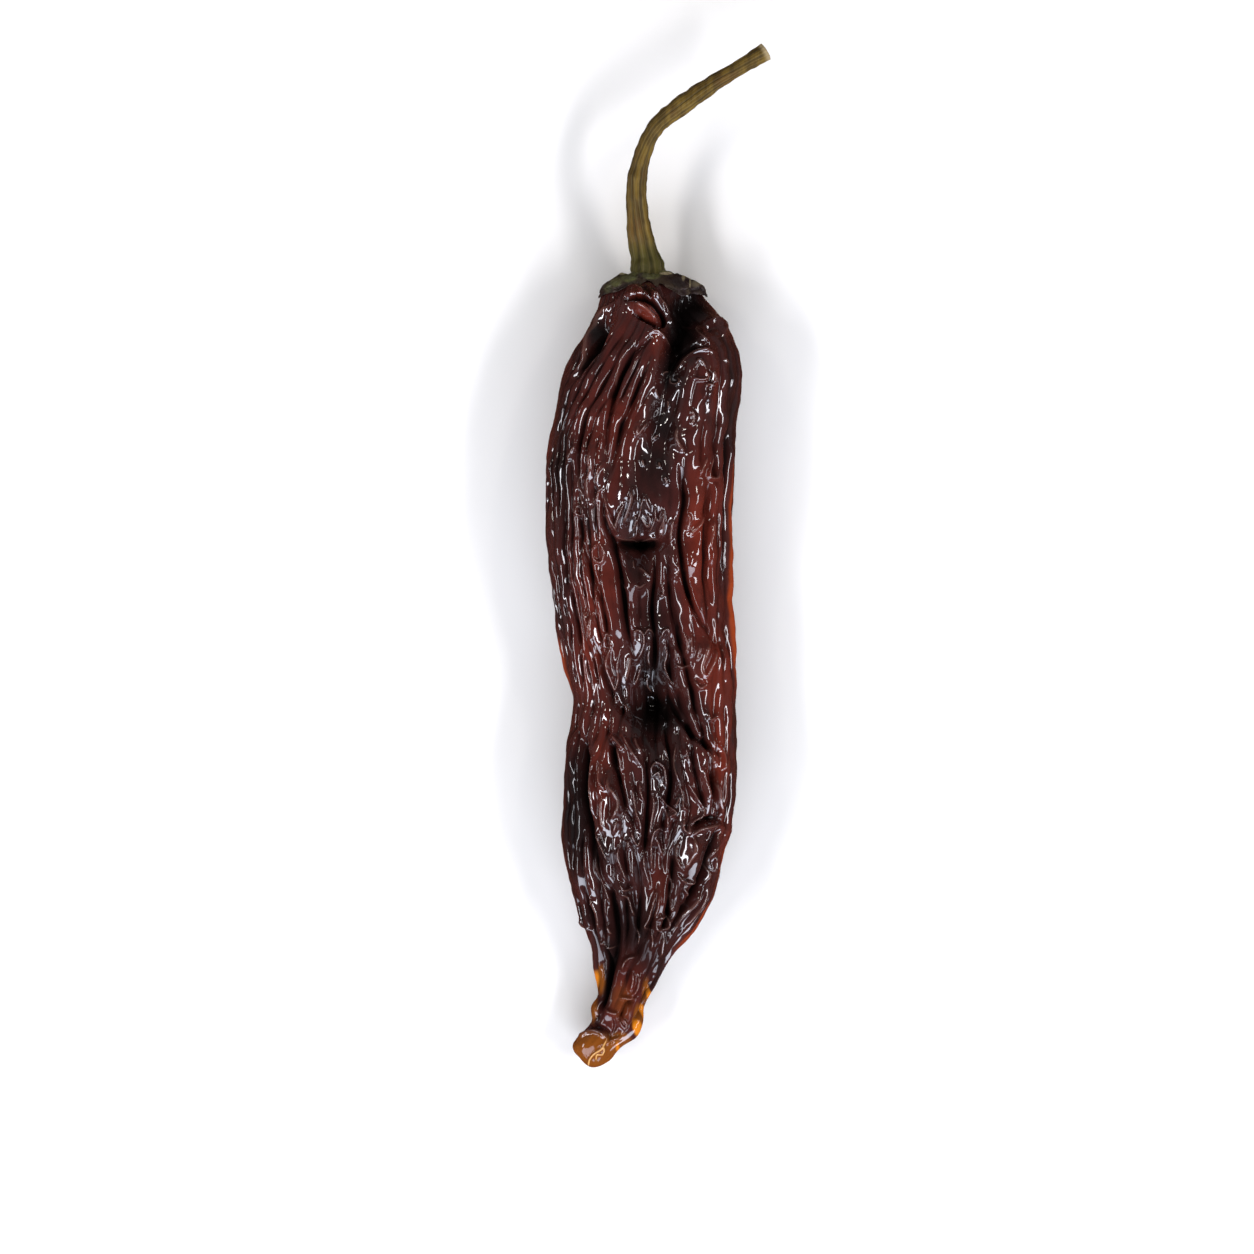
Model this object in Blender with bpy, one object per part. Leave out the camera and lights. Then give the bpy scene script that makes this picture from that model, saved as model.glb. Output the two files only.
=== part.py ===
"""A dried aji amarillo: a wrinkled pod, the calyx that caps it, and its bent stem.

Metres, +Z up. The pod lies on its side along Y, with its stem towards +Y. The origin is the
centre of the bounding box, on the surface that the pod lies on.

The shapes are worked out in a drawing frame in millimetres: along runs down the pod from its
shoulder to its tip, across runs to the right, and height is above the surface. One function
turns drawing points into metres.
"""

import math

import bpy
import numpy as np

MM = 0.001

# Driving dimensions of the pod, in millimetres
POD_TOP = 0.8  # along, where the pod begins under its calyx
POD_TIP = 119.8
NECK_DOME = 2.2  # how far the blunt top end takes to reach its full width
TIP_DOME = 1.3
SQUARENESS = 2.25  # exponent of the cross-section: 2 is an ellipse, more is boxier
WIDE_SECTION = (13.6, 8.4)  # half width and half thickness at the widest place

# The plain body from above: along, middle across, half width
POD_OUTLINE = (
    (0.0, 0.1, 4.6),
    (1.6, 0.2, 5.5),
    (3.0, 0.4, 6.7),
    (5.0, 0.8, 7.9),
    (6.6, 1.0, 9.2),
    (8.4, 1.1, 10.6),
    (12.0, 0.7, 12.3),
    (15.6, 0.3, 13.4),
    (20.0, -0.4, 13.7),
    (26.4, -1.5, 14.0),
    (33.6, -1.7, 13.9),
    (40.8, -1.7, 13.7),
    (48.0, -1.4, 13.3),
    (53.0, -0.9, 12.9),
    (58.8, 0.1, 12.4),
    (64.5, 0.5, 12.2),
    (70.5, 0.2, 12.8),
    (77.0, 0.1, 12.9),
    (84.0, -0.6, 12.7),
    (88.0, -1.0, 12.0),
    (94.3, -1.1, 10.2),
    (98.7, -1.6, 8.1),
    (102.4, -2.5, 6.1),
    (106.0, -3.2, 4.8),
    (109.2, -4.0, 4.0),
    (111.4, -4.6, 3.7),
    (113.3, -5.0, 3.9),
    (115.1, -6.4, 4.1),
    (116.3, -7.3, 3.9),
    (117.5, -8.2, 3.5),
    (118.7, -8.3, 2.7),
    (119.8, -8.4, 2.0),
)

# The plain body from the side: along, lowest height, highest height
POD_PROFILE = (
    (0.0, 4.0, 10.9),
    (1.6, 3.2, 11.9),
    (5.0, 1.6, 13.8),
    (12.0, 0.2, 16.0),
    (20.0, -0.45, 17.1),
    (26.4, -0.6, 17.4),
    (33.6, -0.2, 17.2),
    (41.0, 0.6, 16.6),
    (48.0, 1.1, 15.9),
    (58.0, 1.1, 14.9),
    (64.5, 0.6, 14.6),
    (70.5, 0.0, 15.1),
    (77.0, -0.55, 15.6),
    (84.0, -0.5, 15.1),
    (88.0, 0.1, 14.2),
    (94.0, 0.8, 12.4),
    (98.4, 1.3, 10.9),
    (102.0, 1.7, 9.3),
    (106.0, 2.0, 7.9),
    (110.0, 2.1, 7.1),
    (113.4, 2.0, 6.6),
    (116.0, 1.9, 6.2),
    (119.8, 2.3, 5.0),
)

# The valley that runs down the upper face: along, across, half width, depth
VALLEY = (
    (3.0, 6.4, 1.6, 1.0),
    (6.0, 5.6, 2.2, 2.6),
    (10.2, 4.2, 2.1, 2.6),
    (15.0, 2.6, 1.8, 2.0),
    (21.0, 1.8, 2.0, 1.9),
    (26.7, 0.8, 2.5, 2.0),
    (32.7, -0.6, 3.4, 2.5),
    (36.0, -1.4, 3.8, 2.0),
    (39.0, -1.6, 3.8, 1.6),
    (41.4, -1.5, 3.7, 4.4),
    (44.0, -1.2, 3.4, 4.1),
    (47.0, -0.7, 3.2, 3.2),
    (52.2, 0.3, 3.0, 3.0),
    (57.5, 0.4, 3.4, 2.6),
    (61.5, 0.5, 4.0, 3.0),
    (65.0, 0.8, 3.9, 5.0),
    (67.5, 1.3, 3.5, 4.2),
    (71.0, 1.9, 3.2, 2.2),
    (77.7, 2.2, 2.6, 1.2),
    (86.7, 1.5, 2.2, 0.7),
    (94.2, -1.5, 2.0, 0.6),
    (103.0, -4.4, 1.6, 0.5),
    (109.0, -6.6, 1.2, 0.4),
)

VALLEY_SCALE = 1.15

# Creases of the upper face: depth, half width, then their (along, across) points
CREASES = (
    (1.1, 0.7, ((3.4, -2.8), (4.9, -1.4), (6.2, 0.5), (8.2, 1.5))),
    (0.9, 0.8, ((5.0, -4.6), (7.5, -3.4), (10.0, -2.9))),
    (1.3, 1.0, ((7.0, -6.6), (10.2, -8.0), (13.2, -9.8), (16.4, -11.8))),
    (0.7, 0.6, ((10.6, -0.8), (14.4, -3.9), (18.4, -5.4), (23.7, -6.5), (29.7, -7.0))),
    (0.7, 0.6, ((11.7, 0.3), (15.9, -1.5), (19.2, -2.4), (23.4, -4.2), (32.7, -6.7))),
    (0.8, 0.6, ((17.4, -8.2), (22.2, -10.0), (26.7, -10.8), (33.0, -10.6))),
    (0.8, 0.5, ((28.2, -13.3), (37.2, -13.0), (46.2, -12.3), (55.2, -10.8), (64.0, -9.8))),
    (0.8, 0.6, ((28.2, -10.0), (35.7, -10.5), (43.2, -9.6), (49.2, -7.5), (62.4, -5.7))),
    (1.3, 0.8, ((31.5, -7.0), (38.0, -6.7), (42.0, -5.3), (52.2, -3.8), (58.0, -3.0))),
    (1.3, 0.7, ((27.5, 4.2), (33.2, 5.1), (41.1, 4.7), (45.5, 5.3), (50.0, 6.5), (56.5, 10.4))),
    (0.7, 0.6, ((28.5, 8.2), (35.7, 9.0), (41.7, 8.6), (50.5, 9.4))),
    (0.8, 0.5, ((22.5, 11.6), (31.2, 11.6), (37.2, 11.6), (50.5, 10.8))),
    (1.5, 0.7, ((39.5, 1.1), (46.2, 0.9), (50.7, 0.4), (55.2, 0.8), (64.0, 0.2))),
    (1.1, 0.6, ((41.0, 2.2), (46.2, 3.0), (54.5, 4.2), (58.5, 5.4), (67.2, 7.6), (71.5, 9.6))),
    (1.0, 0.7, ((57.0, 2.4), (62.7, 4.0), (66.0, 5.4), (70.5, 6.9))),
    (0.9, 0.7, ((54.0, -7.8), (61.2, -7.0), (65.0, -5.2), (67.5, -2.6))),
    (1.7, 0.9, ((66.5, -11.6), (71.7, -10.2), (77.7, -9.9), (83.7, -9.1), (96.0, -6.8))),
    (0.8, 0.6, ((66.5, -7.2), (71.0, -5.7), (75.5, -4.8), (80.0, -3.7), (85.0, -1.4))),
    (0.8, 0.6, ((68.5, -0.8), (74.7, -0.4), (83.7, -0.6), (89.0, -1.3))),
    (0.8, 0.6, ((69.0, 2.6), (74.7, 3.3), (85.2, 1.9), (92.5, 2.4))),
    (0.8, 0.6, ((70.0, 5.5), (75.5, 7.0), (82.0, 8.5))),
    (0.9, 0.6, ((66.5, 7.2), (73.2, 9.3), (77.7, 9.9), (84.0, 11.0))),
    (1.4, 0.7, ((82.5, 11.4), (85.8, 8.8), (89.7, 8.2), (94.2, 6.0), (100.0, 3.0))),
    (0.9, 0.6, ((81.5, 5.5), (86.7, 3.9), (95.7, 2.7), (102.5, 1.0))),
    (1.3, 0.9, ((91.0, -6.4), (98.0, -5.0), (103.2, -5.3), (107.5, -6.6), (111.5, -7.3))),
    (0.7, 0.6, ((87.0, -4.0), (94.2, -2.5), (101.0, -1.6), (107.0, -2.8))),
    (0.6, 0.5, ((107.6, -1.6), (110.0, -3.4), (112.6, -4.6), (116.5, -6.2))),
)

CREASE_SCALE = 1.25

# Low mounds of the upper face: along, across, half length, half width, height
MOUNDS = (
    (5.2, -0.9, 2.6, 2.8, 1.7),
    (8.2, 3.6, 1.6, 1.7, 1.2),
    (14.6, 7.6, 4.0, 3.4, 0.9),
    (46.0, -1.6, 3.6, 2.2, 1.2),
    (78.5, -6.6, 5.0, 2.4, 0.8),
    (86.5, 6.4, 4.2, 3.0, 0.9),
    (116.0, -9.6, 1.8, 2.4, 0.7),
)

# Ridges where the upper and lower faces meet: turn round the section, from along, to along
KEELS = (
    (0.0, 21.0, 64.0),
    (0.0, 84.0, 112.0),
    (0.5, 48.0, 66.0),
    (0.5, 100.0, 111.0),
)
KEEL_HEIGHT = 0.7
KEEL_HALF_WIDTH = 0.016  # of a turn

# Shrinkage folds, drawn by a seeded rule
FOLD_SEED = 20
FOLDS_ROUND = 20
FOLD_DEPTH = 1.2
FOLD_HALF_WIDTH = 0.72
FOLD_SHARE_ABOVE = 0.5  # of their depth, on the upper face, which has its own creases
UNDERSIDE_VALLEYS = ((0.75, 1.5), (0.62, 1.4), (0.89, 1.3))  # turn round the section, depth

# Resolution of the pod's mesh
POD_COLUMNS = 116
POD_ROWS = 46

# Calyx. Reach 1 ends where the pod's rounded end does, and each 1 more is a length of skirt.
CALYX_GAP = 0.4
CALYX_THICKNESS = 0.75
CALYX_REACH = 0.5
CALYX_SKIRT = 1.6
CALYX_LOBES = (  # degrees round, further reach, curl away from the pod
    (10.0, 0.75, 0.3),
    (88.0, 0.1, 0.1),
    (166.0, 0.75, 0.1),
    (232.0, 1.2, 0.5),
    (304.0, 1.3, 0.6),
)
LOBE_HALF_WIDTH = 25.0
CALYX_BOSS = (0.36, 0.26)  # reach at the foot and at the top of the boss that bears the stem
CALYX_BOSS_HEIGHT = 0.5
CALYX_CRUMPLE = 0.14
CALYX_COLUMNS = 60

# Stem: its middle line (along, across, height) and its radius at each point
STEM_LINE = (
    (-1.4, -0.50, 7.45, 2.50),
    (-2.2, -0.71, 7.5, 2.28),
    (-3.4, -1.01, 7.6, 2.12),
    (-4.9, -1.31, 7.8, 2.00),
    (-7.2, -1.71, 8.3, 1.85),
    (-9.3, -1.91, 8.7, 1.70),
    (-11.1, -2.01, 9.1, 1.58),
    (-12.9, -2.01, 9.4, 1.50),
    (-14.7, -1.81, 9.7, 1.40),
    (-16.5, -1.36, 10.0, 1.34),
    (-18.3, -0.76, 10.3, 1.28),
    (-20.1, 0.04, 10.5, 1.25),
    (-21.7, 1.13, 10.7, 1.30),
    (-23.0, 2.57, 10.8, 1.40),
    (-24.7, 4.86, 10.8, 1.48),
    (-26.4, 7.35, 10.7, 1.38),
    (-28.2, 10.14, 10.4, 1.12),
    (-29.9, 13.23, 10.1, 0.98),
    (-31.0, 15.12, 9.9, 1.08),
    (-31.9, 16.62, 9.7, 1.34),
    (-32.4, 17.41, 9.6, 1.30),
)
STEM_RIBS = 5
STEM_RIB_DEPTH = 0.17  # share of the radius, at the foot
STEM_COLUMNS = 30
STEM_RINGS = 34


def smooth_through(knots, values, at):
    """Reads a smooth curve through the (knot, value) pairs at each place in at."""
    knots = np.asarray(knots, float)
    values = np.asarray(values, float)
    slopes = np.gradient(values, knots)
    i = np.clip(np.searchsorted(knots, at, side="right") - 1, 0, len(knots) - 2)
    gap = knots[i + 1] - knots[i]
    t = np.clip((at - knots[i]) / gap, 0.0, 1.0)
    rise = t * t * (3 - 2 * t)
    return (
        (1 - rise) * values[i]
        + rise * values[i + 1]
        + gap * t * (1 - t) ** 2 * slopes[i]
        - gap * t * t * (1 - t) * slopes[i + 1]
    )


def column_of(table, column, at):
    """One column of a table of stations, read smoothly along its first column."""
    table = np.asarray(table, float)
    return smooth_through(table[:, 0], table[:, column], at)


def fade(low, high, value):
    """0 at low, 1 at high, with a soft start and end."""
    t = np.clip((value - low) / (high - low), 0.0, 1.0)
    return t * t * (3 - 2 * t)


def bell(distance, half_width):
    return np.exp(-((distance / half_width) ** 2))


def section_angle(turn):
    """The angle on the cross-section that lies a given share of the way round it."""
    angle = np.linspace(0, 2 * math.pi, 1441)
    x, z = section_point(angle, *WIDE_SECTION)
    length = np.concatenate([[0], np.cumsum(np.hypot(np.diff(x), np.diff(z)))])
    return np.interp(np.mod(turn, 1.0), length / length[-1], angle)


def section_point(angle, half_width, half_thickness):
    """A point of the rounded-box cross-section: 0 is the right edge, a quarter turn is the top."""
    power = 2 / SQUARENESS
    c, s = np.cos(angle), np.sin(angle)
    return (
        half_width * np.sign(c) * np.abs(c) ** power,
        half_thickness * np.sign(s) * np.abs(s) ** power,
    )


def section_of(along):
    """Middle across, middle height, half width and half thickness of the plain body."""
    lowest, highest = column_of(POD_PROFILE, 1, along), column_of(POD_PROFILE, 2, along)
    across, half_width = column_of(POD_OUTLINE, 1, along), column_of(POD_OUTLINE, 2, along)
    return across, (highest + lowest) / 2, half_width, (highest - lowest) / 2


def end_dome(along):
    """1 along the body, falling to 0 in a rounded end at the shoulder and at the tip."""
    neck = np.clip((along - POD_TOP) / NECK_DOME, 0, 1)
    tip = np.clip((POD_TIP - along) / TIP_DOME, 0, 1)
    return np.sqrt(neck * (2 - neck) * tip * (2 - tip))


def plain_pod(along, turn):
    """Points (along, across, height) of the pod before it shrivels."""
    across, height, half_width, half_thickness = section_of(along)
    size = end_dome(along)
    x, z = section_point(section_angle(turn), half_width * size, half_thickness * size)
    return np.stack([along, across + x, height + z], axis=-1)


def crease_depth(along, across, depth, half_width, points):
    """How deep one crease cuts at each place: it is tapered at both of its ends."""
    line = np.asarray(points, float)
    path = smooth_through(line[:, 0], line[:, 1], along)
    slope = (line[-1, 1] - line[0, 1]) / (line[-1, 0] - line[0, 0])
    distance = (across - path) / math.hypot(1, slope)
    taper = 0.3 * (line[-1, 0] - line[0, 0])
    ends = fade(line[0, 0] - 1, line[0, 0] + taper, along)
    ends *= fade(-line[-1, 0] - 1, taper - line[-1, 0], -along)
    return CREASE_SCALE * depth * ends * bell(distance, half_width)


def face_relief(along, across):
    """The valley, creases and mounds of the upper face."""
    valley = VALLEY_SCALE * column_of(VALLEY, 3, along) * bell(
        across - column_of(VALLEY, 1, along), column_of(VALLEY, 2, along)
    )
    relief = -valley * fade(109.0, 104.0, along)
    for crease in CREASES:
        relief = relief - crease_depth(along, across, *crease)
    for at, side, half_length, half_width, height in MOUNDS:
        relief = relief + height * bell(along - at, half_length) * bell(across - side, half_width)
    return relief


def fold_relief(along, turn):
    """Folds that run the length of the pod all round it, wandering, starting and stopping."""
    rng = np.random.default_rng(FOLD_SEED)
    round_mm = 72.0
    relief = np.zeros(np.broadcast(along, turn).shape)
    for i in range(FOLDS_ROUND):
        middle = (i + rng.uniform(-0.22, 0.22)) / FOLDS_ROUND
        sway = rng.uniform(0.004, 0.012, 2)
        length = rng.uniform((60, 22), (120, 40))
        phase = rng.uniform(0, 2 * math.pi, 4)
        start, stop = rng.uniform(2, 30), rng.uniform(88, 119)
        path = middle + sum(
            sway[k] * np.sin(2 * math.pi * along / length[k] + phase[k]) for k in range(2)
        )
        away = np.mod(turn - path + 0.5, 1.0) - 0.5
        depth = FOLD_DEPTH * (
            0.68
            + 0.2 * np.sin(2 * math.pi * along / 27.0 + phase[2])
            + 0.2 * np.sin(2 * math.pi * along / 11.0 + phase[3])
        )
        depth = depth * fade(start - 5, start + 6, along) * fade(stop + 6, stop - 8, along)
        relief = relief - depth * bell(away * round_mm, FOLD_HALF_WIDTH)
    return relief


def edge_relief(along, turn):
    """The thin pressed edges, and the shallow valleys of the underside."""
    relief = np.zeros(np.broadcast(along, turn).shape)
    for middle, start, stop in KEELS:
        away = np.mod(turn - middle + 0.5, 1.0) - 0.5
        run = fade(start, start + 8, along) * fade(stop, stop - 8, along)
        relief = relief + KEEL_HEIGHT * run * bell(away, KEEL_HALF_WIDTH)
    for middle, depth in UNDERSIDE_VALLEYS:
        away = np.mod(turn - middle - 0.015 * np.sin(along / 11.0) + 0.5, 1.0) - 0.5
        run = fade(14, 30, along) * fade(100, 84, along)
        relief = relief - depth * run * bell(away, 0.03)
    return relief


def surface_normal(points):
    """Outward unit normals of a grid of points whose columns close round the pod."""
    down = np.gradient(points, axis=0)
    round_ = np.roll(points, -1, axis=1) - np.roll(points, 1, axis=1)
    normal = np.cross(round_, down)
    return normal / np.maximum(np.linalg.norm(normal, axis=2, keepdims=True), 1e-9)


def shrivelled_pod(rows, turns):
    """The pod's skin as a grid of (along, across, height) points: plain shape, then relief."""
    along, turn = np.meshgrid(rows, turns, indexing="ij")
    points = plain_pod(along, turn)
    normal = surface_normal(points)
    above = fade(-0.15, 0.35, np.sin(section_angle(turn)))
    relief = face_relief(along, points[..., 1]) * above
    relief += fold_relief(along, turn) * (1 - (1 - FOLD_SHARE_ABOVE) * above)
    relief += edge_relief(along, turn)
    # The skin is plain under the calyx, and the thin tip has room for small folds only.
    relief *= fade(1.4, 4.2, along) * (1 - 0.55 * fade(100, 108, along))
    relief *= fade(POD_TIP, POD_TIP - 3, along)
    points = points + normal * relief[..., None]
    points[..., 2] = np.maximum(points[..., 2], 0.0)
    return points


def spaced_rows(count):
    """Rows down the pod, closer at both ends and where the valley drops into its two pits."""
    at = np.linspace(POD_TOP, POD_TIP, 2400)
    density = (
        1
        + 2.4 * bell(at - POD_TOP, 3.0)
        + 1.0 * bell(at - 41.0, 2.5)
        + 0.8 * bell(at - 65.0, 4.0)
        + 1.3 * fade(98, 112, at)
        + 3.0 * bell(at - POD_TIP, 1.5)
    )
    reach = np.concatenate([[0], np.cumsum((density[1:] + density[:-1]) / 2)])
    share = (np.arange(count) + 0.5) / count
    return np.interp(share, reach / reach[-1], at)


def to_metres(points):
    """Drawing points (along, across, height) in millimetres as (x, y, z) in metres."""
    points = np.asarray(points, float)
    return np.stack([points[..., 1], -points[..., 0], points[..., 2]], axis=-1) * MM


def mesh_object(name, grid, first_pole, last_pole, material):
    """A closed mesh from a grid of rings, with a fan of triangles to a pole at each end."""
    rows, columns = grid.shape[:2]
    vertices = [*to_metres(grid).reshape(-1, 3), to_metres(first_pole), to_metres(last_pole)]
    first, last = rows * columns, rows * columns + 1
    faces = []
    for j in range(columns):
        k = (j + 1) % columns
        faces.append((first, k, j))
        faces.append((last, (rows - 1) * columns + j, (rows - 1) * columns + k))
        for i in range(rows - 1):
            above, below = i * columns, (i + 1) * columns
            faces.append((above + j, above + k, below + k, below + j))
    mesh = bpy.data.meshes.new(name)
    mesh.from_pydata([tuple(v) for v in vertices], [], faces)
    mesh.shade_smooth()
    mesh.materials.append(material)
    made = bpy.data.objects.new(name, mesh)
    bpy.context.collection.objects.link(made)
    return made


def make_material(name, colour, roughness):
    material = bpy.data.materials.new(name)
    material.use_nodes = True
    shader = material.node_tree.nodes["Principled BSDF"]
    shader.inputs["Base Color"].default_value = (*colour, 1.0)
    shader.inputs["Roughness"].default_value = roughness
    shader.inputs["Metallic"].default_value = 0.0
    return material


def make_pod():
    turns = np.arange(POD_COLUMNS) / POD_COLUMNS
    grid = shrivelled_pod(spaced_rows(POD_ROWS), turns)
    top, tip = plain_pod(np.array([POD_TOP, POD_TIP]), np.array([0.0, 0.0]))
    skin = make_material("pod_skin", (0.075, 0.018, 0.012), 0.30)
    return mesh_object("pod", grid, top, tip, skin)


def calyx_lobes(degrees):
    """How far the calyx reaches at an angle round it, and how far it curls out there."""
    reach, curl = CALYX_REACH, 0.0
    for middle, length, lift in CALYX_LOBES:
        away = np.mod(degrees - middle + 180, 360) - 180
        reach = reach + length * bell(away, LOBE_HALF_WIDTH)
        curl = curl + lift * bell(away, LOBE_HALF_WIDTH * 0.8)
    return reach, curl


def calyx_ring(share, turn, away):
    """Points of the calyx a share of the way from its middle to its rim, away from the pod."""
    angle = section_angle(turn)
    furthest, curl = calyx_lobes(np.degrees(angle))
    inner = 0.45
    reach = inner * min(share / 0.4, 1) + (furthest - inner) * max(share - 0.4, 0) / 0.6
    lean = np.minimum(reach, 1) * math.pi / 2
    on_pod = POD_TOP + NECK_DOME * (1 - np.cos(lean)) + CALYX_SKIRT * np.maximum(reach - 1, 0)
    crumple = CALYX_CRUMPLE * np.sin(2 * math.pi * 10 * turn + 5 * reach) * fade(0.45, 0.7, reach)
    out = away + crumple + curl * fade(0.6, 1.0, share)
    along = on_pod - away * np.cos(lean)
    if away > CALYX_GAP:
        along = along - CALYX_BOSS_HEIGHT * fade(*CALYX_BOSS, reach)
    across, height, half_width, half_thickness = section_of(on_pod)
    x, z = section_point(angle, half_width + out, half_thickness + out)
    return np.stack([along, across + x * np.sin(lean), height + z * np.sin(lean)], axis=-1)


def make_calyx():
    """A thin cap with five lobes: outer face from its middle to the rim, then back underneath."""
    turns = np.arange(CALYX_COLUMNS) / CALYX_COLUMNS
    shares = (0.08, 0.15, 0.22, 0.28, 0.34, 0.42, 0.55, 0.70, 0.85, 1.0)
    rings = [calyx_ring(share, turns, CALYX_GAP + CALYX_THICKNESS) for share in shares]
    rings += [calyx_ring(share, turns, CALYX_GAP) for share in reversed(shares)]
    outer, inner = rings[0].mean(axis=0), rings[-1].mean(axis=0)
    husk = make_material("calyx_husk", (0.07, 0.05, 0.022), 0.6)
    return mesh_object("calyx", np.stack(rings), outer, inner, husk)


def make_stem():
    """A ribbed stalk: rings square to its middle line, flared at the foot and at the cut end."""
    line = np.asarray(STEM_LINE, float)
    spacing = np.linalg.norm(np.diff(line[:, :3], axis=0), axis=1)
    length = np.concatenate([[0], np.cumsum(spacing)])
    at = np.linspace(0, length[-1], STEM_RINGS)
    centre = np.stack([smooth_through(length, line[:, k], at) for k in range(3)], axis=-1)
    radius = smooth_through(length, line[:, 3], at)
    ahead = np.gradient(centre, at, axis=0)
    ahead /= np.linalg.norm(ahead, axis=1, keepdims=True)
    side = np.cross(ahead, (0, 0, 1.0))
    side /= np.linalg.norm(side, axis=1, keepdims=True)
    up = np.cross(side, ahead)
    angle = 2 * math.pi * np.arange(STEM_COLUMNS) / STEM_COLUMNS
    twist = 0.02 * at
    ribs = np.cos(STEM_RIBS * (angle[None, :] + twist[:, None]))
    depth = STEM_RIB_DEPTH * (0.35 + 0.65 * fade(16, 0, at))
    reach = radius[:, None] * (1 - depth[:, None] * (0.5 - 0.5 * ribs))
    grid = (
        centre[:, None]
        + side[:, None] * (reach * np.cos(angle))[..., None]
        + up[:, None] * (reach * np.sin(angle))[..., None]
    )
    bark = make_material("stem_bark", (0.105, 0.085, 0.03), 0.65)
    return mesh_object("stem", grid[::-1], centre[-1], centre[0], bark)


def centre_on_origin(parts):
    """Parents the pieces to one empty, moved so that the bounding box stands centred on the origin."""
    corners = np.array([v.co for part in parts for v in part.data.vertices])
    middle = (corners.min(axis=0) + corners.max(axis=0)) / 2
    pepper = bpy.data.objects.new("dried_aji_amarillo", None)
    bpy.context.collection.objects.link(pepper)
    pepper.location = (-middle[0], -middle[1], 0)
    for part in parts:
        part.parent = pepper


def main():
    for old in list(bpy.data.objects):
        bpy.data.objects.remove(old)
    centre_on_origin([make_pod(), make_calyx(), make_stem()])


main()
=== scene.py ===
# %% [markdown]
# # A dried aji amarillo
#
# This lesson dresses a dried chilli pod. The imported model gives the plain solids: a pod, the
# calyx that caps it, and its stem. Each of the three gets a detailed skin built from the same
# named shapes, and a finish made of shader nodes.

import math

import bpy
import numpy as np
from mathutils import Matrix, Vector


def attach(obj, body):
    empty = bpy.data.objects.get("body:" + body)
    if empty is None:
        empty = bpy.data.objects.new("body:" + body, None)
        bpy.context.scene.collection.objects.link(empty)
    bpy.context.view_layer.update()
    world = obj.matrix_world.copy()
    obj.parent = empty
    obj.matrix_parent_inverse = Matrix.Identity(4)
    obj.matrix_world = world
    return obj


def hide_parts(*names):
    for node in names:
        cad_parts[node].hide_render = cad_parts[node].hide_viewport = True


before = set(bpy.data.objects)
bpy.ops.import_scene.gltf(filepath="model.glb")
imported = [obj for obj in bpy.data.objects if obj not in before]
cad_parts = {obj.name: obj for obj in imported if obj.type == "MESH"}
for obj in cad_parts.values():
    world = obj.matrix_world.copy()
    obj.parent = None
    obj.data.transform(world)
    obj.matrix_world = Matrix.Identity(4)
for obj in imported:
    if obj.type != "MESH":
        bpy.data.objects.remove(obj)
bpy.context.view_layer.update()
MM = 0.001
scene = bpy.context.scene
print("nodes:", sorted(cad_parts))

# %% [markdown]
# The pod is easiest to draw the way a gardener would measure it. *Along* runs down the pod from
# its shoulder to its tip, *across* runs to the right, and *height* is above the table, all in
# millimetres. One function turns these into Blender's metres. The two shifts are the ones that
# centre the solids on the origin.

# %% The drawing frame
SHIFT = (-0.00129858, 0.04315408)
POD_TOP, POD_TIP = 0.8, 119.8


def to_metres(points):
    points = np.asarray(points, float)
    x, y, z = points[..., 1], -points[..., 0], points[..., 2]
    return np.stack([x * MM + SHIFT[0], y * MM + SHIFT[1], z * MM], axis=-1)


# %% [markdown]
# The photograph looks straight down on the pod, with the stem at the top of the picture. The
# frame is 188 mm wide where the pod is widest. A long lens from well above keeps the sides of
# the pod from spreading.

# %% The camera
VIEW_WIDTH, CAMERA_HEIGHT, WIDEST_HEIGHT = 0.1881, 0.6, 0.008
PICTURE_CENTRE = (53.25, -3.45)

lens = bpy.data.cameras.new("overhead")
lens.sensor_width = 36
lens.lens = lens.sensor_width * (CAMERA_HEIGHT - WIDEST_HEIGHT) / VIEW_WIDTH
lens.clip_start = 0.01
camera = bpy.data.objects.new("overhead", lens)
camera.location = Vector(to_metres((*PICTURE_CENTRE, 0))) + Vector((0, 0, CAMERA_HEIGHT))
scene.collection.objects.link(camera)
scene.camera = camera
print(f"lens {lens.lens:.1f} mm")

# %% [markdown]
# A dried pod has no straight line in it, so its widths and heights are read from short tables.
# A smooth curve through the rows of a table could be a Bézier curve, but a small cubic in numpy
# gives the same curve for thousands of points at once.

# %% Reading a table smoothly
def smooth_through(knots, values, at):
    knots, values = np.asarray(knots, float), np.asarray(values, float)
    slopes = np.gradient(values, knots)
    i = np.clip(np.searchsorted(knots, at, side="right") - 1, 0, len(knots) - 2)
    gap = knots[i + 1] - knots[i]
    t = np.clip((at - knots[i]) / gap, 0.0, 1.0)
    rise = t * t * (3 - 2 * t)
    start = (1 - rise) * values[i] + gap * t * (1 - t) ** 2 * slopes[i]
    return start + rise * values[i + 1] - gap * t * t * (1 - t) * slopes[i + 1]


def column_of(table, column, at):
    table = np.asarray(table, float)
    return smooth_through(table[:, 0], table[:, column], at)


def fade(low, high, value):
    t = np.clip((value - low) / (high - low), 0.0, 1.0)
    return t * t * (3 - 2 * t)


def bell(distance, half_width):
    return np.exp(-((distance / half_width) ** 2))


print("halfway between 0 and 1:", float(fade(0, 1, 0.5)))

# %% [markdown]
# The pod before it shrivelled was a smooth, slightly flattened tube. One table gives its outline
# from above and another its profile from the side. The cross-section is a superellipse: an
# ellipse with a little more shoulder. Points are spread evenly round it by length, so that
# wrinkles drawn later have the same width on the faces and on the edges.

# %% The plain pod
NECK_DOME, TIP_DOME = 1.8, 1.3
SQUARENESS, SECTION_STEPS = 2.25, 1440
WIDE_SECTION = (13.6, 8.4)

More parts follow.
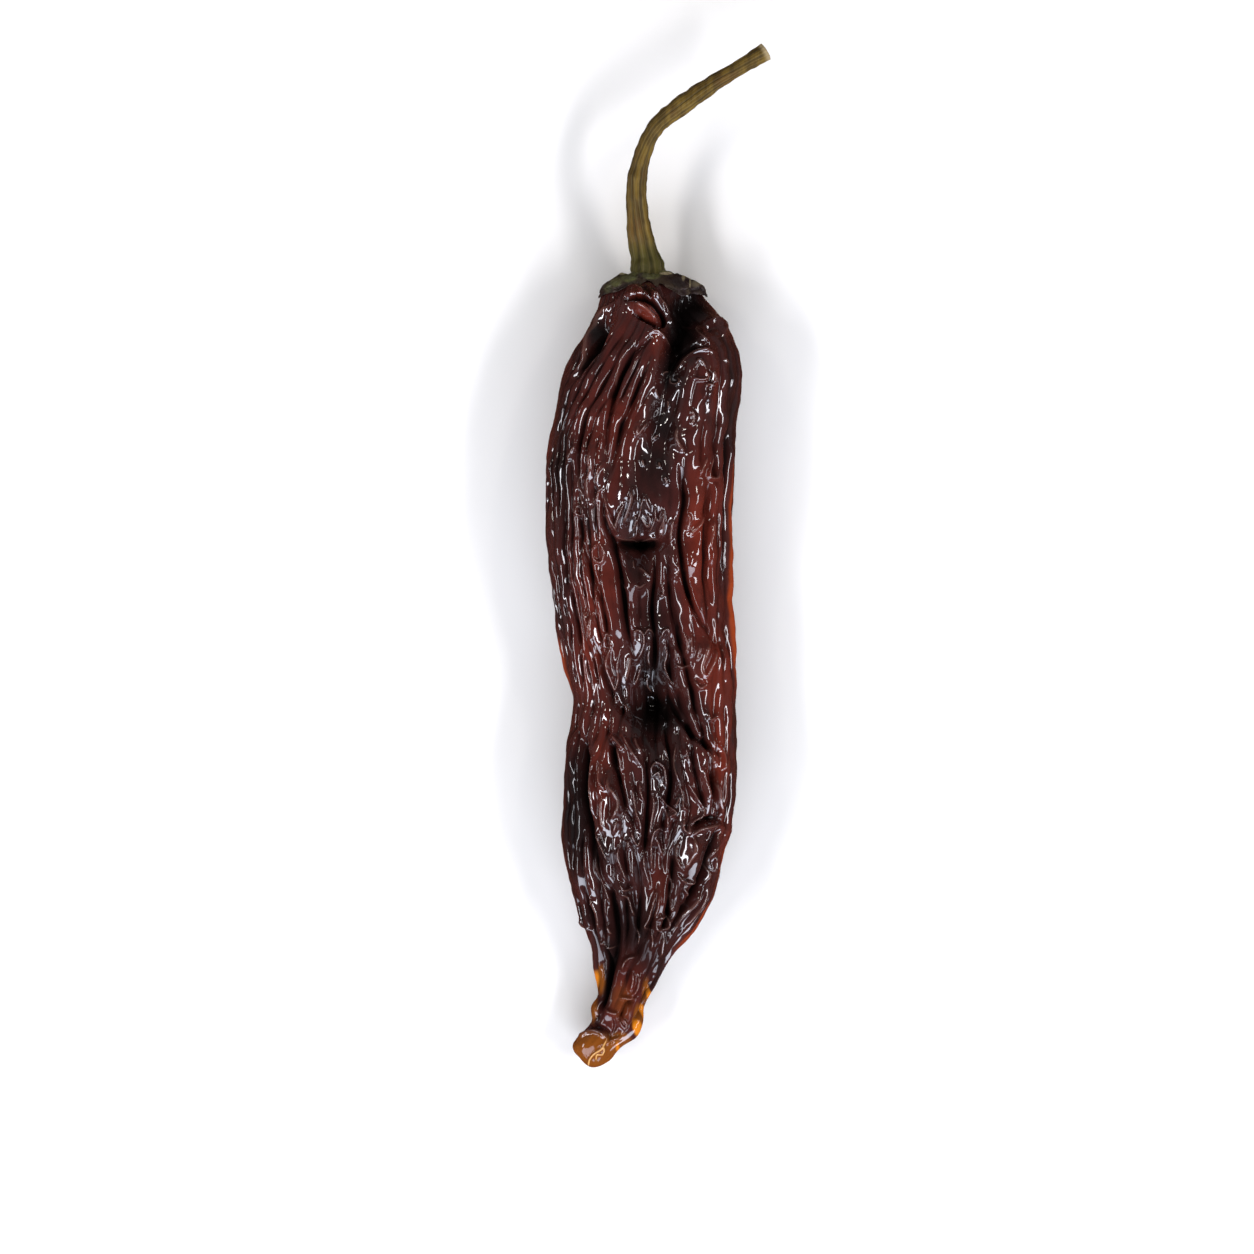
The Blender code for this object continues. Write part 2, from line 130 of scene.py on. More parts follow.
POD_OUTLINE = (
    (0.0, 0.1, 5.6), (1.6, 0.3, 6.8), (3.3, 0.4, 7.6), (5.6, 0.95, 8.8), (7.4, 1.2, 9.8),
    (9.5, 1.1, 11.0), (12.0, 0.7, 12.3), (15.6, 0.4, 13.3), (20.0, -0.3, 13.7),
    (26.4, -1.5, 14.0), (33.6, -1.7, 13.9), (40.8, -1.7, 13.7), (48.0, -1.4, 13.3),
    (53.0, -0.9, 12.9), (58.8, 0.1, 12.4), (64.5, 0.5, 12.2), (70.5, 0.2, 12.8),
    (77.0, 0.1, 12.9), (84.0, -0.6, 12.7), (88.0, -1.0, 12.0), (94.3, -1.1, 10.2),
    (98.7, -1.6, 8.1), (102.0, -2.4, 6.3), (103.6, -2.8, 5.6), (105.8, -3.25, 4.8),
    (107.4, -3.55, 4.35), (108.7, -3.95, 3.95), (110.4, -4.75, 3.95), (112.9, -5.05, 3.85),
    (114.1, -5.85, 4.1), (115.3, -6.8, 4.15), (116.3, -7.85, 3.75), (117.4, -8.25, 3.1),
    (118.3, -8.15, 2.4), (119.2, -8.3, 1.8), (119.8, -8.5, 1.5),
)
POD_PROFILE = (
    (0.0, 4.0, 10.9), (1.6, 3.2, 11.9), (5.0, 1.6, 13.8), (12.0, 0.2, 16.0),
    (20.0, -0.45, 17.1), (26.4, -0.6, 17.4), (33.6, -0.2, 17.2), (41.0, 0.6, 16.6),
    (48.0, 1.1, 15.9), (58.0, 1.1, 14.9), (64.5, 0.6, 14.6), (70.5, 0.0, 15.1),
    (77.0, -0.55, 15.6), (84.0, -0.5, 15.1), (88.0, 0.1, 14.2), (94.0, 0.8, 12.4),
    (98.4, 1.3, 10.9), (102.0, 1.7, 9.3), (106.0, 2.0, 7.9), (110.0, 2.1, 7.1),
    (113.4, 2.0, 6.6), (116.0, 1.9, 6.2), (119.8, 2.3, 5.0),
)


def section_point(angle, half_width, half_thickness):
    power, c, s = 2 / SQUARENESS, np.cos(angle), np.sin(angle)
    x = half_width * np.sign(c) * np.abs(c) ** power
    return x, half_thickness * np.sign(s) * np.abs(s) ** power


def section_angle(turn):
    angle = np.linspace(0, 2 * math.pi, SECTION_STEPS + 1)
    x, z = section_point(angle, *WIDE_SECTION)
    length = np.concatenate([[0], np.cumsum(np.hypot(np.diff(x), np.diff(z)))])
    return np.interp(np.mod(turn, 1.0), length / length[-1], angle)


def section_of(along):
    lowest, highest = column_of(POD_PROFILE, 1, along), column_of(POD_PROFILE, 2, along)
    across, half_width = column_of(POD_OUTLINE, 1, along), column_of(POD_OUTLINE, 2, along)
    return across, (highest + lowest) / 2, half_width, (highest - lowest) / 2


def plain_pod(along, turn):
    across, height, half_width, half_thickness = section_of(along)
    neck = np.clip((along - POD_TOP) / NECK_DOME, 0, 1)
    tip = np.clip((POD_TIP - along) / TIP_DOME, 0, 1)
    size = np.sqrt(neck * (2 - neck) * tip * (2 - tip))
    x, z = section_point(section_angle(turn), half_width * size, half_thickness * size)
    return np.stack([along + 0 * turn, across + x, height + z], axis=-1)


widest = plain_pod(np.array([30.0, 30.0]), np.array([0.0, 0.5]))
print("width at 30 mm along:", round(widest[0, 1] - widest[1, 1], 1), "mm")

# %% [markdown]
# When the flesh dried, the upper face fell in along the middle and left a valley with two deep
# pits. These large forms are heights added along the surface's own normal, and could as well be
# pushed in by hand in sculpt mode. A table of bells gives the valley: along, across, half width
# and depth. A long crease is a depth, a half width and the points it runs through, and a mound is
# a bell in two directions. All were measured where the camera sees them, so a point of the skin
# is first carried to the plane that the photograph was measured in.

# %% The valley, the long creases and the mounds
VALLEY_SCALE, VALLEY_END, CREASE_SHARPNESS = 1.15, (109.0, 104.0), 0.75
VALLEY = (
    (3.0, 6.0, 2.9, 2.2), (6.0, 5.8, 3.0, 3.4), (10.2, 4.6, 2.3, 3.2), (15.0, 3.0, 1.8, 2.4),
    (21.0, 1.8, 2.0, 1.9), (26.7, 0.8, 2.5, 1.8), (31.0, -0.4, 3.2, 0.8), (34.0, -1.2, 3.8, 0.6),
    (37.0, -1.5, 4.4, 1.3), (39.3, -1.6, 4.4, 2.3), (40.2, -1.6, 4.0, 2.9), (41.0, -1.6, 3.4, 4.8),
    (42.2, -1.4, 3.2, 3.5), (44.5, -1.0, 3.2, 2.2), (48.0, -0.5, 3.2, 2.0), (54.0, 0.4, 3.4, 1.8),
    (57.5, 0.4, 3.8, 2.8), (61.5, 0.5, 4.0, 4.2), (65.0, 0.8, 3.9, 5.2), (67.5, 1.3, 3.5, 3.6),
    (71.0, 1.9, 3.2, 1.8), (77.7, 2.2, 2.6, 1.2),
    (86.7, 1.5, 2.2, 0.7), (94.2, -1.5, 2.0, 0.6), (103.0, -4.4, 1.6, 0.5), (109.0, -6.6, 1.2, 0.4),
)
CREASES = (
    (1.3, 1.0, ((7.0, -6.6), (10.2, -8.0), (13.2, -9.8), (16.4, -11.8))),
    (0.7, 0.6, ((10.6, -0.8), (14.4, -3.9), (18.4, -5.4), (23.7, -6.5), (29.7, -7.0))),
    (0.7, 0.6, ((11.7, 0.3), (15.9, -1.5), (19.2, -2.4), (23.4, -4.2), (32.7, -6.7))),
    (0.8, 0.6, ((17.4, -8.2), (22.2, -10.0), (26.7, -10.8), (33.0, -10.6))),
    (0.8, 0.5, ((28.2, -13.3), (37.2, -13.0), (46.2, -12.3), (55.2, -10.8), (64.0, -9.8))),
    (0.8, 0.6, ((28.2, -10.0), (35.7, -10.5), (43.2, -9.6), (49.2, -7.5), (62.4, -5.7))),
    (1.3, 0.6, ((31.5, -7.0), (38.0, -6.7), (42.0, -5.3), (52.2, -3.8), (58.0, -3.0))),
    (1.3, 0.5, ((27.5, 4.2), (33.2, 5.1), (41.1, 4.7), (45.5, 5.3), (50.0, 6.5), (56.5, 10.4))),
    (0.7, 0.6, ((28.5, 8.2), (35.7, 9.0), (41.7, 8.6), (50.5, 9.4))),
    (0.8, 0.5, ((22.5, 11.6), (31.2, 11.6), (37.2, 11.6), (50.5, 10.8))),
    (1.3, 0.5, ((41.5, 1.3), (46.2, 0.9), (50.7, 0.4), (55.2, 0.8), (64.0, 0.2))),
    (1.1, 0.6, ((41.0, 2.2), (46.2, 3.0), (54.5, 4.2), (58.5, 5.4), (67.2, 7.6), (71.5, 9.6))),
    (1.0, 0.7, ((57.0, 2.4), (62.7, 4.0), (66.0, 5.4), (70.5, 6.9))),
    (0.9, 0.7, ((54.0, -7.8), (61.2, -7.0), (65.0, -5.2), (67.5, -2.6))),
    (1.7, 0.9, ((66.5, -11.6), (71.7, -10.2), (77.7, -9.9), (83.7, -9.1), (96.0, -6.8))),
    (0.8, 0.6, ((66.5, -7.2), (71.0, -5.7), (75.5, -4.8), (80.0, -3.7), (85.0, -1.4))),
    (0.8, 0.6, ((68.5, -0.8), (74.7, -0.4), (83.7, -0.6), (89.0, -1.3))),
    (0.8, 0.6, ((69.0, 2.6), (74.7, 3.3), (85.2, 1.9), (92.5, 2.4))),
    (0.8, 0.6, ((70.0, 5.5), (75.5, 7.0), (82.0, 8.5))),
    (0.9, 0.6, ((66.5, 7.2), (73.2, 9.3), (77.7, 9.9), (84.0, 11.0))),
    (1.4, 0.7, ((82.5, 11.4), (85.8, 8.8), (89.7, 8.2), (94.2, 6.0), (100.0, 3.0))),
    (0.9, 0.6, ((81.5, 5.5), (86.7, 3.9), (95.7, 2.7), (102.5, 1.0))),
    (1.3, 0.9, ((91.0, -6.4), (98.0, -5.0), (103.2, -5.3), (107.5, -6.6), (111.5, -7.3))),
    (0.7, 0.6, ((87.0, -4.0), (94.2, -2.5), (101.0, -1.6), (107.0, -2.8))),
    (0.6, 0.5, ((107.6, -1.6), (110.0, -3.4), (112.6, -4.6), (116.5, -6.2))),
)
MOUNDS = (
    (4.2, -0.7, 1.9, 2.5, 1.7), (4.3, 4.6, 2.0, 2.0, -1.4), (9.8, 4.0, 1.4, 1.4, -0.9),
    (4.5, 4.7, 0.7, 0.8, 0.7), (6.6, 3.8, 0.8, 0.8, 1.0), (8.2, 4.2, 0.9, 0.9, 0.8),
    (6.4, -1.0, 0.5, 0.6, -0.4), (8.1, 9.6, 0.6, 0.6, -0.8), (14.6, 7.6, 4.0, 3.4, 0.9),
    (18.4, 8.6, 0.9, 0.9, 0.5), (30.5, -7.0, 2.2, 0.7, 0.3), (46.8, -1.7, 2.3, 1.9, 1.5),
    (64.8, 0.9, 2.2, 3.2, -1.4), (66.1, 1.6, 0.6, 0.6, 0.8), (67.2, 2.7, 0.6, 0.7, 0.8),
    (68.1, 3.8, 0.6, 0.6, 0.5), (78.5, -6.6, 5.0, 2.4, 0.8), (86.8, 6.6, 3.6, 3.0, 1.0),
    (83.4, 11.1, 0.7, 0.6, 0.7), (97.6, 1.8, 1.1, 1.1, 0.7), (104.0, -3.7, 1.0, 0.9, 0.6),
    (110.3, -3.6, 1.4, 1.4, 0.5), (112.6, -4.2, 0.9, 0.6, 0.8), (111.4, -6.0, 0.8, 0.9, 0.6),
    (110.6, -8.3, 1.6, 0.6, 0.9), (113.6, -2.2, 1.7, 0.8, 0.8), (116.0, -9.2, 1.6, 2.2, 0.9),
    (32.6, -1.5, 3.4, 4.0, 0.9), (77.6, -5.4, 2.0, 1.2, 0.9), (84.4, 1.4, 1.9, 0.9, 0.8),
    (72.4, -2.2, 1.5, 1.1, 0.6), (75.0, 3.6, 1.7, 1.1, 0.6), (90.4, -3.4, 1.8, 1.1, 0.6),
    (56.0, -1.4, 1.8, 1.2, 0.6), (56.4, 8.2, 1.8, 1.4, 0.6), (28.6, -8.4, 2.0, 1.2, 0.5),
)


def as_photographed(points):
    """Where the camera sees a point, in the plane of the pod's widest part."""
    spread = (CAMERA_HEIGHT - WIDEST_HEIGHT) / (CAMERA_HEIGHT - points[..., 2] * MM)
    along = PICTURE_CENTRE[0] + (points[..., 0] - PICTURE_CENTRE[0]) * spread
    return along, PICTURE_CENTRE[1] + (points[..., 1] - PICTURE_CENTRE[1]) * spread


def valley_depth(along, across):
    middle, half_width = column_of(VALLEY, 1, along), column_of(VALLEY, 2, along)
    depth = VALLEY_SCALE * column_of(VALLEY, 3, along) * bell(across - middle, half_width)
    return depth * fade(*VALLEY_END, along)


def crease_depth(along, across, depth, half_width, points):
    line = np.asarray(points, float)
    path = smooth_through(line[:, 0], line[:, 1], along)
    run = line[-1] - line[0]
    distance = (across - path) / math.hypot(1, run[1] / run[0]) / CREASE_SHARPNESS
    ends = fade(line[0, 0] - 1, line[0, 0] + 0.3 * run[0], along)
    ends = ends * fade(line[-1, 0] + 1, line[-1, 0] - 0.3 * run[0], along)
    return depth * ends * bell(distance, half_width)


def mound_height(along, across):
    return sum(
        height * bell(along - at, half_length) * bell(across - side, half_width)
        for at, side, half_length, half_width, height in MOUNDS
    )


print("the pit at 65 mm is", round(float(valley_depth(65.0, 0.8)), 1), "mm deep")

# %% [markdown]
# Round the rest of the pod the skin has drawn into long folds. Each one wanders a little, deepens
# and fades, and stops at its own place. They are drawn by a seeded rule, the same one as in the
# solid, so both have the same outline. The pressed edges stand a little proud, and the underside
# has three shallow valleys, so the pod lies on the ridges between them.

# %% The long folds and the edges
FOLD_SEED, FOLDS_ROUND, FOLD_DEPTH, FOLD_HALF_WIDTH, FOLD_SHARE_ABOVE = 20, 20, 1.2, 0.72, 0.3
GIRTH = 72.0
KEELS = (
    (0.0, 21.0, 64.0, 1.0), (0.0, 84.0, 112.0, 1.0),
    (0.5, 48.0, 66.0, 1.0), (0.5, 100.0, 111.0, 1.0),
)
KEEL_HEIGHT, KEEL_HALF_WIDTH, BAND_END = 0.7, 0.016, 8
UNDERSIDE_VALLEYS = ((0.75, 1.5), (0.62, 1.4), (0.89, 1.3))


def turn_away(turn, middle):
    return np.mod(turn - middle + 0.5, 1.0) - 0.5


def fold_depth(along, turn):
    rng = np.random.default_rng(FOLD_SEED)
    total = 0.0
    for i in range(FOLDS_ROUND):
        middle = (i + rng.uniform(-0.22, 0.22)) / FOLDS_ROUND
        sway = rng.uniform(0.004, 0.012, 2)
        length = rng.uniform((60, 22), (120, 40))
        phase = rng.uniform(0, 2 * math.pi, 4)
        start, stop = rng.uniform(2, 30), rng.uniform(88, 119)
        wander = sum(sway[k] * np.sin(math.tau * along / length[k] + phase[k]) for k in range(2))
        depth = 0.68 + 0.2 * np.sin(math.tau * along / 27.0 + phase[2])
        depth = FOLD_DEPTH * (depth + 0.2 * np.sin(math.tau * along / 11.0 + phase[3]))
        depth = depth * fade(start - 5, start + 6, along) * fade(stop + 6, stop - 8, along)
        away = turn_away(turn, middle + wander) * GIRTH
        total = total + depth * bell(away, FOLD_HALF_WIDTH)
    return total


def edge_bands(along, turn, bands, half_width):
    """bands: where round the pod, start, stop and strength of each band along an edge."""
    return sum(
        strength * fade(start, start + BAND_END, along) * fade(stop, stop - BAND_END, along)
        * bell(turn_away(turn, middle), half_width)
        for middle, start, stop, strength in bands
    )


def edge_height(along, turn):
    total = KEEL_HEIGHT * edge_bands(along, turn, KEELS, KEEL_HALF_WIDTH)
    for middle, depth in UNDERSIDE_VALLEYS:
        away = turn_away(turn, middle + 0.015 * np.sin(along / 11.0))
        run = fade(14, 30, along) * fade(100, 84, along)
        total = total - depth * run * bell(away, 0.03)
    return total


print("deepest fold:", round(float(fold_depth(*np.mgrid[10:100:3.0, 0:1:0.01]).max()), 2), "mm")

# %% [markdown]
# The upper face has ridges and creases of its own, which make this pod this pod: the torn knot
# beside the calyx, the lip over the first pit, and the loops and hooks of the lower half. Each is
# a line with a height and a half width, in millimetres, and a crease's height is below zero. A
# sculptor would draw them with a brush. Here a line is smoothed, and every point near it is
# raised by a bell of its distance.

# %% The drawn ridges and creases: the shoulder
SHOULDER_LINES = (
    (0.7, 0.45, ((4.2, -4.8), (5.2, -6.3), (6.4, -7.5), (8.0, -8.4), (9.9, -9.3), (11.7, -9.8),
                 (13.2, -10.2), (14.7, -11.4), (15.3, -12.0))),
    (-0.7, 0.8, ((6.9, -6.6), (8.4, -7.5), (10.2, -7.8), (12.0, -8.4), (13.5, -9.3), (15.3, -10.5))),
    (0.25, 0.3, ((12.0, -7.2), (13.0, -8.4), (14.1, -9.4), (15.3, -10.2))),
    (-1.5, 0.34, ((4.3, -3.4), (4.3, -1.8), (4.7, -0.2), (5.3, 1.0), (6.1, 1.8), (7.2, 2.0),
                  (8.0, 1.3))),
    (0.8, 0.42, ((5.3, -2.2), (5.6, -1.2), (6.2, -0.2), (6.9, 0.7), (7.4, 1.2))),
    (-1.0, 0.28, ((6.2, -2.4), (6.9, -1.3), (7.5, -0.1), (8.1, 1.1))),
    (0.6, 0.4, ((3.6, 0.4), (4.2, 1.7), (4.9, 2.6), (6.0, 3.2))),
    (-0.6, 0.3, ((1.6, -1.0), (3.0, -0.3), (4.4, 0.3))),
    (0.3, 0.28, ((1.8, -2.4), (2.7, -1.5), (3.6, -0.9))),
    (-0.4, 0.3, ((2.4, 1.0), (3.6, 1.6), (5.0, 2.2))),
    (0.5, 0.3, ((9.0, 0.0), (8.8, 1.0), (9.2, 2.0), (9.9, 2.8), (10.4, 3.6))),
    (-0.7, 0.4, ((9.9, 0.0), (11.1, -1.4), (12.2, -2.6), (13.5, -3.4), (15.3, -4.4), (17.1, -5.0),
                 (18.9, -5.6), (21.0, -6.0))),
    (0.35, 0.3, ((12.0, -3.6), (13.5, -4.4), (15.4, -5.0), (17.4, -5.4))),
    (0.6, 0.35, ((14.6, 4.0), (13.5, 4.8), (12.4, 5.7), (11.8, 6.8), (11.7, 8.1), (12.0, 9.2))),
    (-0.8, 0.5, ((14.4, 3.3), (12.9, 4.2), (11.7, 5.4), (11.1, 6.8), (11.0, 8.4))),
    (0.5, 0.3, ((6.9, 8.0), (8.2, 7.5), (9.8, 8.0), (10.6, 8.8))),
    (0.5, 0.3, ((6.8, 9.2), (6.8, 10.2), (7.8, 11.1), (9.2, 11.2))),
    (0.4, 0.24, ((14.1, 6.9), (13.2, 7.0), (13.4, 7.5), (14.4, 8.0))),
    (0.4, 0.25, ((15.9, 6.3), (16.2, 7.5), (16.0, 8.4), (14.8, 8.1))),
    (0.4, 0.26, ((15.4, 2.0), (14.8, 2.2), (14.4, 3.2))),
    (0.4, 0.26, ((15.0, 3.3), (16.4, 3.3), (16.6, 4.2), (15.9, 4.5), (15.8, 3.9))),
    (0.35, 0.3, ((17.4, 8.0), (16.8, 8.6), (17.4, 9.4))),
    (0.35, 0.35, ((17.2, 1.0), (18.0, 1.0), (18.8, 1.6))),
    (0.4, 0.3, ((14.8, 9.2), (16.2, 9.4), (16.8, 9.4))),
    (0.3, 0.3, ((13.0, 11.0), (13.8, 11.6))),
)
print(len(SHOULDER_LINES), "lines on the shoulder")

# %% [markdown]
# The upper half is pleated lengthwise between the shoulder and the second pit. The first pit has a
# lip that hangs over it, with a hollow crescent below, and small ridges run down to the lip like
# the ribs of a fan. They are drawn one by one, because it is their places that make the lip.

# %% The drawn ridges and creases: the upper half
UPPER_LINES = (
    (0.6, 0.5, ((26.6, -8.7), (28.2, -9.0), (29.7, -8.8), (31.2, -9.4), (32.7, -9.4), (34.5, -9.3))),
    (0.4, 0.3, ((26.0, -11.1), (27.0, -11.8), (28.5, -12.3))),
    (0.35, 0.3, ((27.4, -10.4), (29.7, -10.5), (31.6, -10.8), (33.4, -10.4), (36.0, -10.5))),
    (0.45, 0.3, ((28.6, -7.0), (30.0, -7.8), (32.1, -8.0))),
    (0.4, 0.3, ((32.2, -7.2), (33.4, -7.8), (34.6, -8.1))),
    (0.3, 0.22, ((35.0, -11.0), (36.3, -11.0), (36.6, -10.4), (35.4, -10.2), (35.0, -10.8))),
    (0.5, 0.35, ((22.8, -1.8), (24.4, -1.8), (23.7, -1.2), (22.4, -0.4))),
    (0.6, 0.5, ((23.0, 4.2), (24.8, 3.9), (26.4, 4.6), (27.2, 5.2))),
    (0.4, 0.35, ((20.6, 6.2), (22.0, 6.6), (23.0, 6.2))),
    (0.4, 0.35, ((27.8, 8.6), (29.0, 8.0), (30.4, 7.5))),
    (0.35, 0.3, ((27.4, 9.9), (29.0, 9.3), (30.8, 9.0), (30.9, 10.0), (29.7, 10.6))),
    (0.4, 0.3, ((19.0, 2.8), (20.4, 2.9))),
    (0.35, 0.3, ((24.2, 1.4), (25.0, 0.6))),
    (0.35, 0.4, ((28.0, -1.2), (29.2, -0.9))),
    (0.35, 0.35, ((28.4, 1.4), (29.4, 1.6))),
    (0.4, 0.35, ((30.6, 2.2), (31.8, 2.6))),
    (0.45, 0.35, ((36.0, -6.8), (37.5, -6.3), (38.7, -6.0))),
    (0.4, 0.35, ((38.7, -5.6), (37.2, -5.0), (35.4, -4.5))),
    (0.4, 0.35, ((38.0, -3.9), (36.0, -3.3), (34.2, -2.7), (32.7, -2.7))),
    (0.3, 0.25, ((39.0, -2.6), (37.6, -2.2), (36.4, -2.3))),
    (0.4, 0.3, ((36.4, -1.5), (37.5, -1.0), (38.4, -0.3), (37.4, 0.1), (36.2, -0.6))),
    (0.35, 0.28, ((33.6, -0.8), (34.8, -0.4), (36.0, 0.2))),
    (0.3, 0.25, ((35.4, 0.9), (36.6, 0.8), (37.5, 1.4), (36.0, 1.8))),
    (0.4, 0.35, ((36.4, 2.0), (38.4, 2.1), (39.9, 1.8))),
    (0.2, 0.3, ((39.3, -6.0), (40.0, -5.0), (40.4, -3.8), (40.5, -2.6), (41.0, -1.7), (40.6, -0.6),
                (40.2, 0.5), (40.4, 1.2), (39.6, 1.9))),
    (-1.1, 0.6, ((40.1, -5.6), (40.8, -4.5), (41.3, -3.0), (41.7, -1.5), (41.4, 0.0), (40.9, 1.2),
                 (40.3, 2.0))),
    (0.5, 0.25, ((32.6, -7.0), (34.6, -6.6), (36.2, -6.2), (38.0, -5.6), (39.6, -4.8))),
    (0.5, 0.25, ((34.6, -3.9), (36.2, -4.5), (37.6, -5.0), (39.2, -5.3))),
    (0.5, 0.25, ((32.4, -2.7), (34.4, -3.0), (36.4, -3.6), (38.0, -4.2))),
    (0.45, 0.22, ((33.6, -1.0), (35.0, -1.3), (36.6, -1.6), (38.2, -2.4))),
    (0.45, 0.22, ((36.6, -1.9), (38.4, -1.9), (40.2, -2.2))),
    (0.45, 0.22, ((35.4, 2.0), (37.4, 2.0), (38.6, 1.6), (40.0, 1.6))),
    (0.4, 0.22, ((35.0, 0.6), (36.4, 0.9), (38.4, 0.4), (39.6, -0.2))),
    (0.35, 0.28, ((40.5, -7.8), (41.4, -8.6), (43.2, -8.4), (43.6, -7.5), (42.0, -6.9), (40.6, -7.6))),
    (0.5, 0.4, ((37.0, 3.6), (38.7, 3.3), (40.6, 3.2))),
    (0.4, 0.4, ((36.4, 8.6), (38.0, 7.5), (39.2, 6.4), (39.9, 6.0))),
    (0.4, 0.3, ((37.2, 9.8), (39.4, 9.4), (41.4, 9.0))),
    (0.3, 0.3, ((36.0, 5.8), (37.6, 6.0), (39.0, 5.8))),
    (0.3, 0.28, ((44.4, -1.8), (45.0, -0.8), (45.9, 0.0))),
    (0.3, 0.28, ((43.4, -2.6), (44.6, -2.4))),
    (0.3, 0.28, ((45.8, -4.5), (47.0, -4.2), (47.7, -3.6))),
    (0.3, 0.3, ((46.8, -2.2), (47.4, -1.6), (46.8, -0.6))),
    (0.3, 0.3, ((46.8, 1.8), (48.2, 2.2), (49.0, 1.6))),
    (0.35, 0.28, ((43.8, 3.9), (44.8, 4.4), (45.9, 3.8))),
    (0.5, 0.4, ((51.4, -8.8), (53.4, -9.0), (55.2, -9.0))),
    (0.4, 0.3, ((50.8, -10.0), (51.8, -9.8), (53.6, -9.3))),
    (0.5, 0.3, ((57.0, -7.4), (55.6, -7.0), (54.3, -6.6), (56.0, -6.0), (57.4, -6.4), (58.8, -6.6),
                (60.8, -6.2), (62.7, -5.6), (60.9, -5.0), (59.4, -5.0), (56.7, -4.5))),
    (0.5, 0.3, ((55.5, -2.4), (53.8, -2.0), (54.2, -1.2), (55.6, -0.9), (57.4, -1.4), (58.5, -2.1))),
    (0.5, 0.4, ((57.4, -3.0), (59.4, -3.3), (61.8, -4.0))),
    (0.5, 0.35, ((59.4, -1.5), (61.2, -2.1), (62.2, -2.6))),
    (0.4, 0.25, ((54.8, -0.8), (53.7, -0.2), (54.2, 0.5), (55.4, 0.8))),
    (0.45, 0.3, ((56.7, 0.0), (58.2, -0.3), (59.4, 0.0))),
    (0.45, 0.3, ((60.9, -0.6), (62.7, -0.3), (63.3, 0.5))),
    (0.45, 0.28, ((55.2, 1.8), (54.0, 2.1), (53.6, 2.7), (54.8, 3.0))),
    (0.5, 0.3, ((56.0, 2.4), (57.4, 2.7), (59.4, 2.4), (61.2, 3.2), (62.7, 4.2))),
    (0.4, 0.25, ((56.4, 3.8), (58.2, 4.0))),
    (0.35, 0.25, ((54.0, 5.0), (55.5, 5.6), (57.4, 5.4))),
    (0.35, 0.25, ((54.4, 6.2), (57.4, 6.2))),
    (0.35, 0.3, ((59.0, 3.9), (59.4, 5.1), (59.0, 6.2))),
    (0.35, 0.25, ((56.0, 7.3), (58.2, 6.9))),
    (0.6, 0.55, ((55.5, 8.6), (57.4, 8.0), (59.4, 7.6), (61.2, 8.1))),
    (0.6, 0.5, ((56.4, 9.9), (58.2, 9.4), (59.7, 8.7), (61.2, 8.2))),
    (0.4, 0.3, ((61.2, 6.6), (62.4, 7.5), (61.6, 8.6))),
    (0.45, 0.3, ((62.0, 5.8), (63.4, 6.0), (65.0, 6.4))),
    (0.4, 0.3, ((66.0, 8.4), (67.2, 9.0), (66.6, 10.0))),
    (-0.9, 0.5, ((62.7, 2.7), (65.0, 3.9), (67.2, 5.1), (69.4, 6.8), (71.0, 8.7), (72.0, 10.2))),
    (0.3, 0.3, ((64.8, -4.2), (65.6, -3.2))),
    (0.3, 0.3, ((63.6, -6.0), (64.6, -5.4))),
)
print(len(UPPER_LINES), "lines on the upper half")

# %% [markdown]
# Past the second pit the folds break up into short hooks and loops, and the skin draws together
# into a neck. The tip is a smooth knob with a pale seam over it. The seam's two lines have a table
# of their own, because they get a colour of their own too.

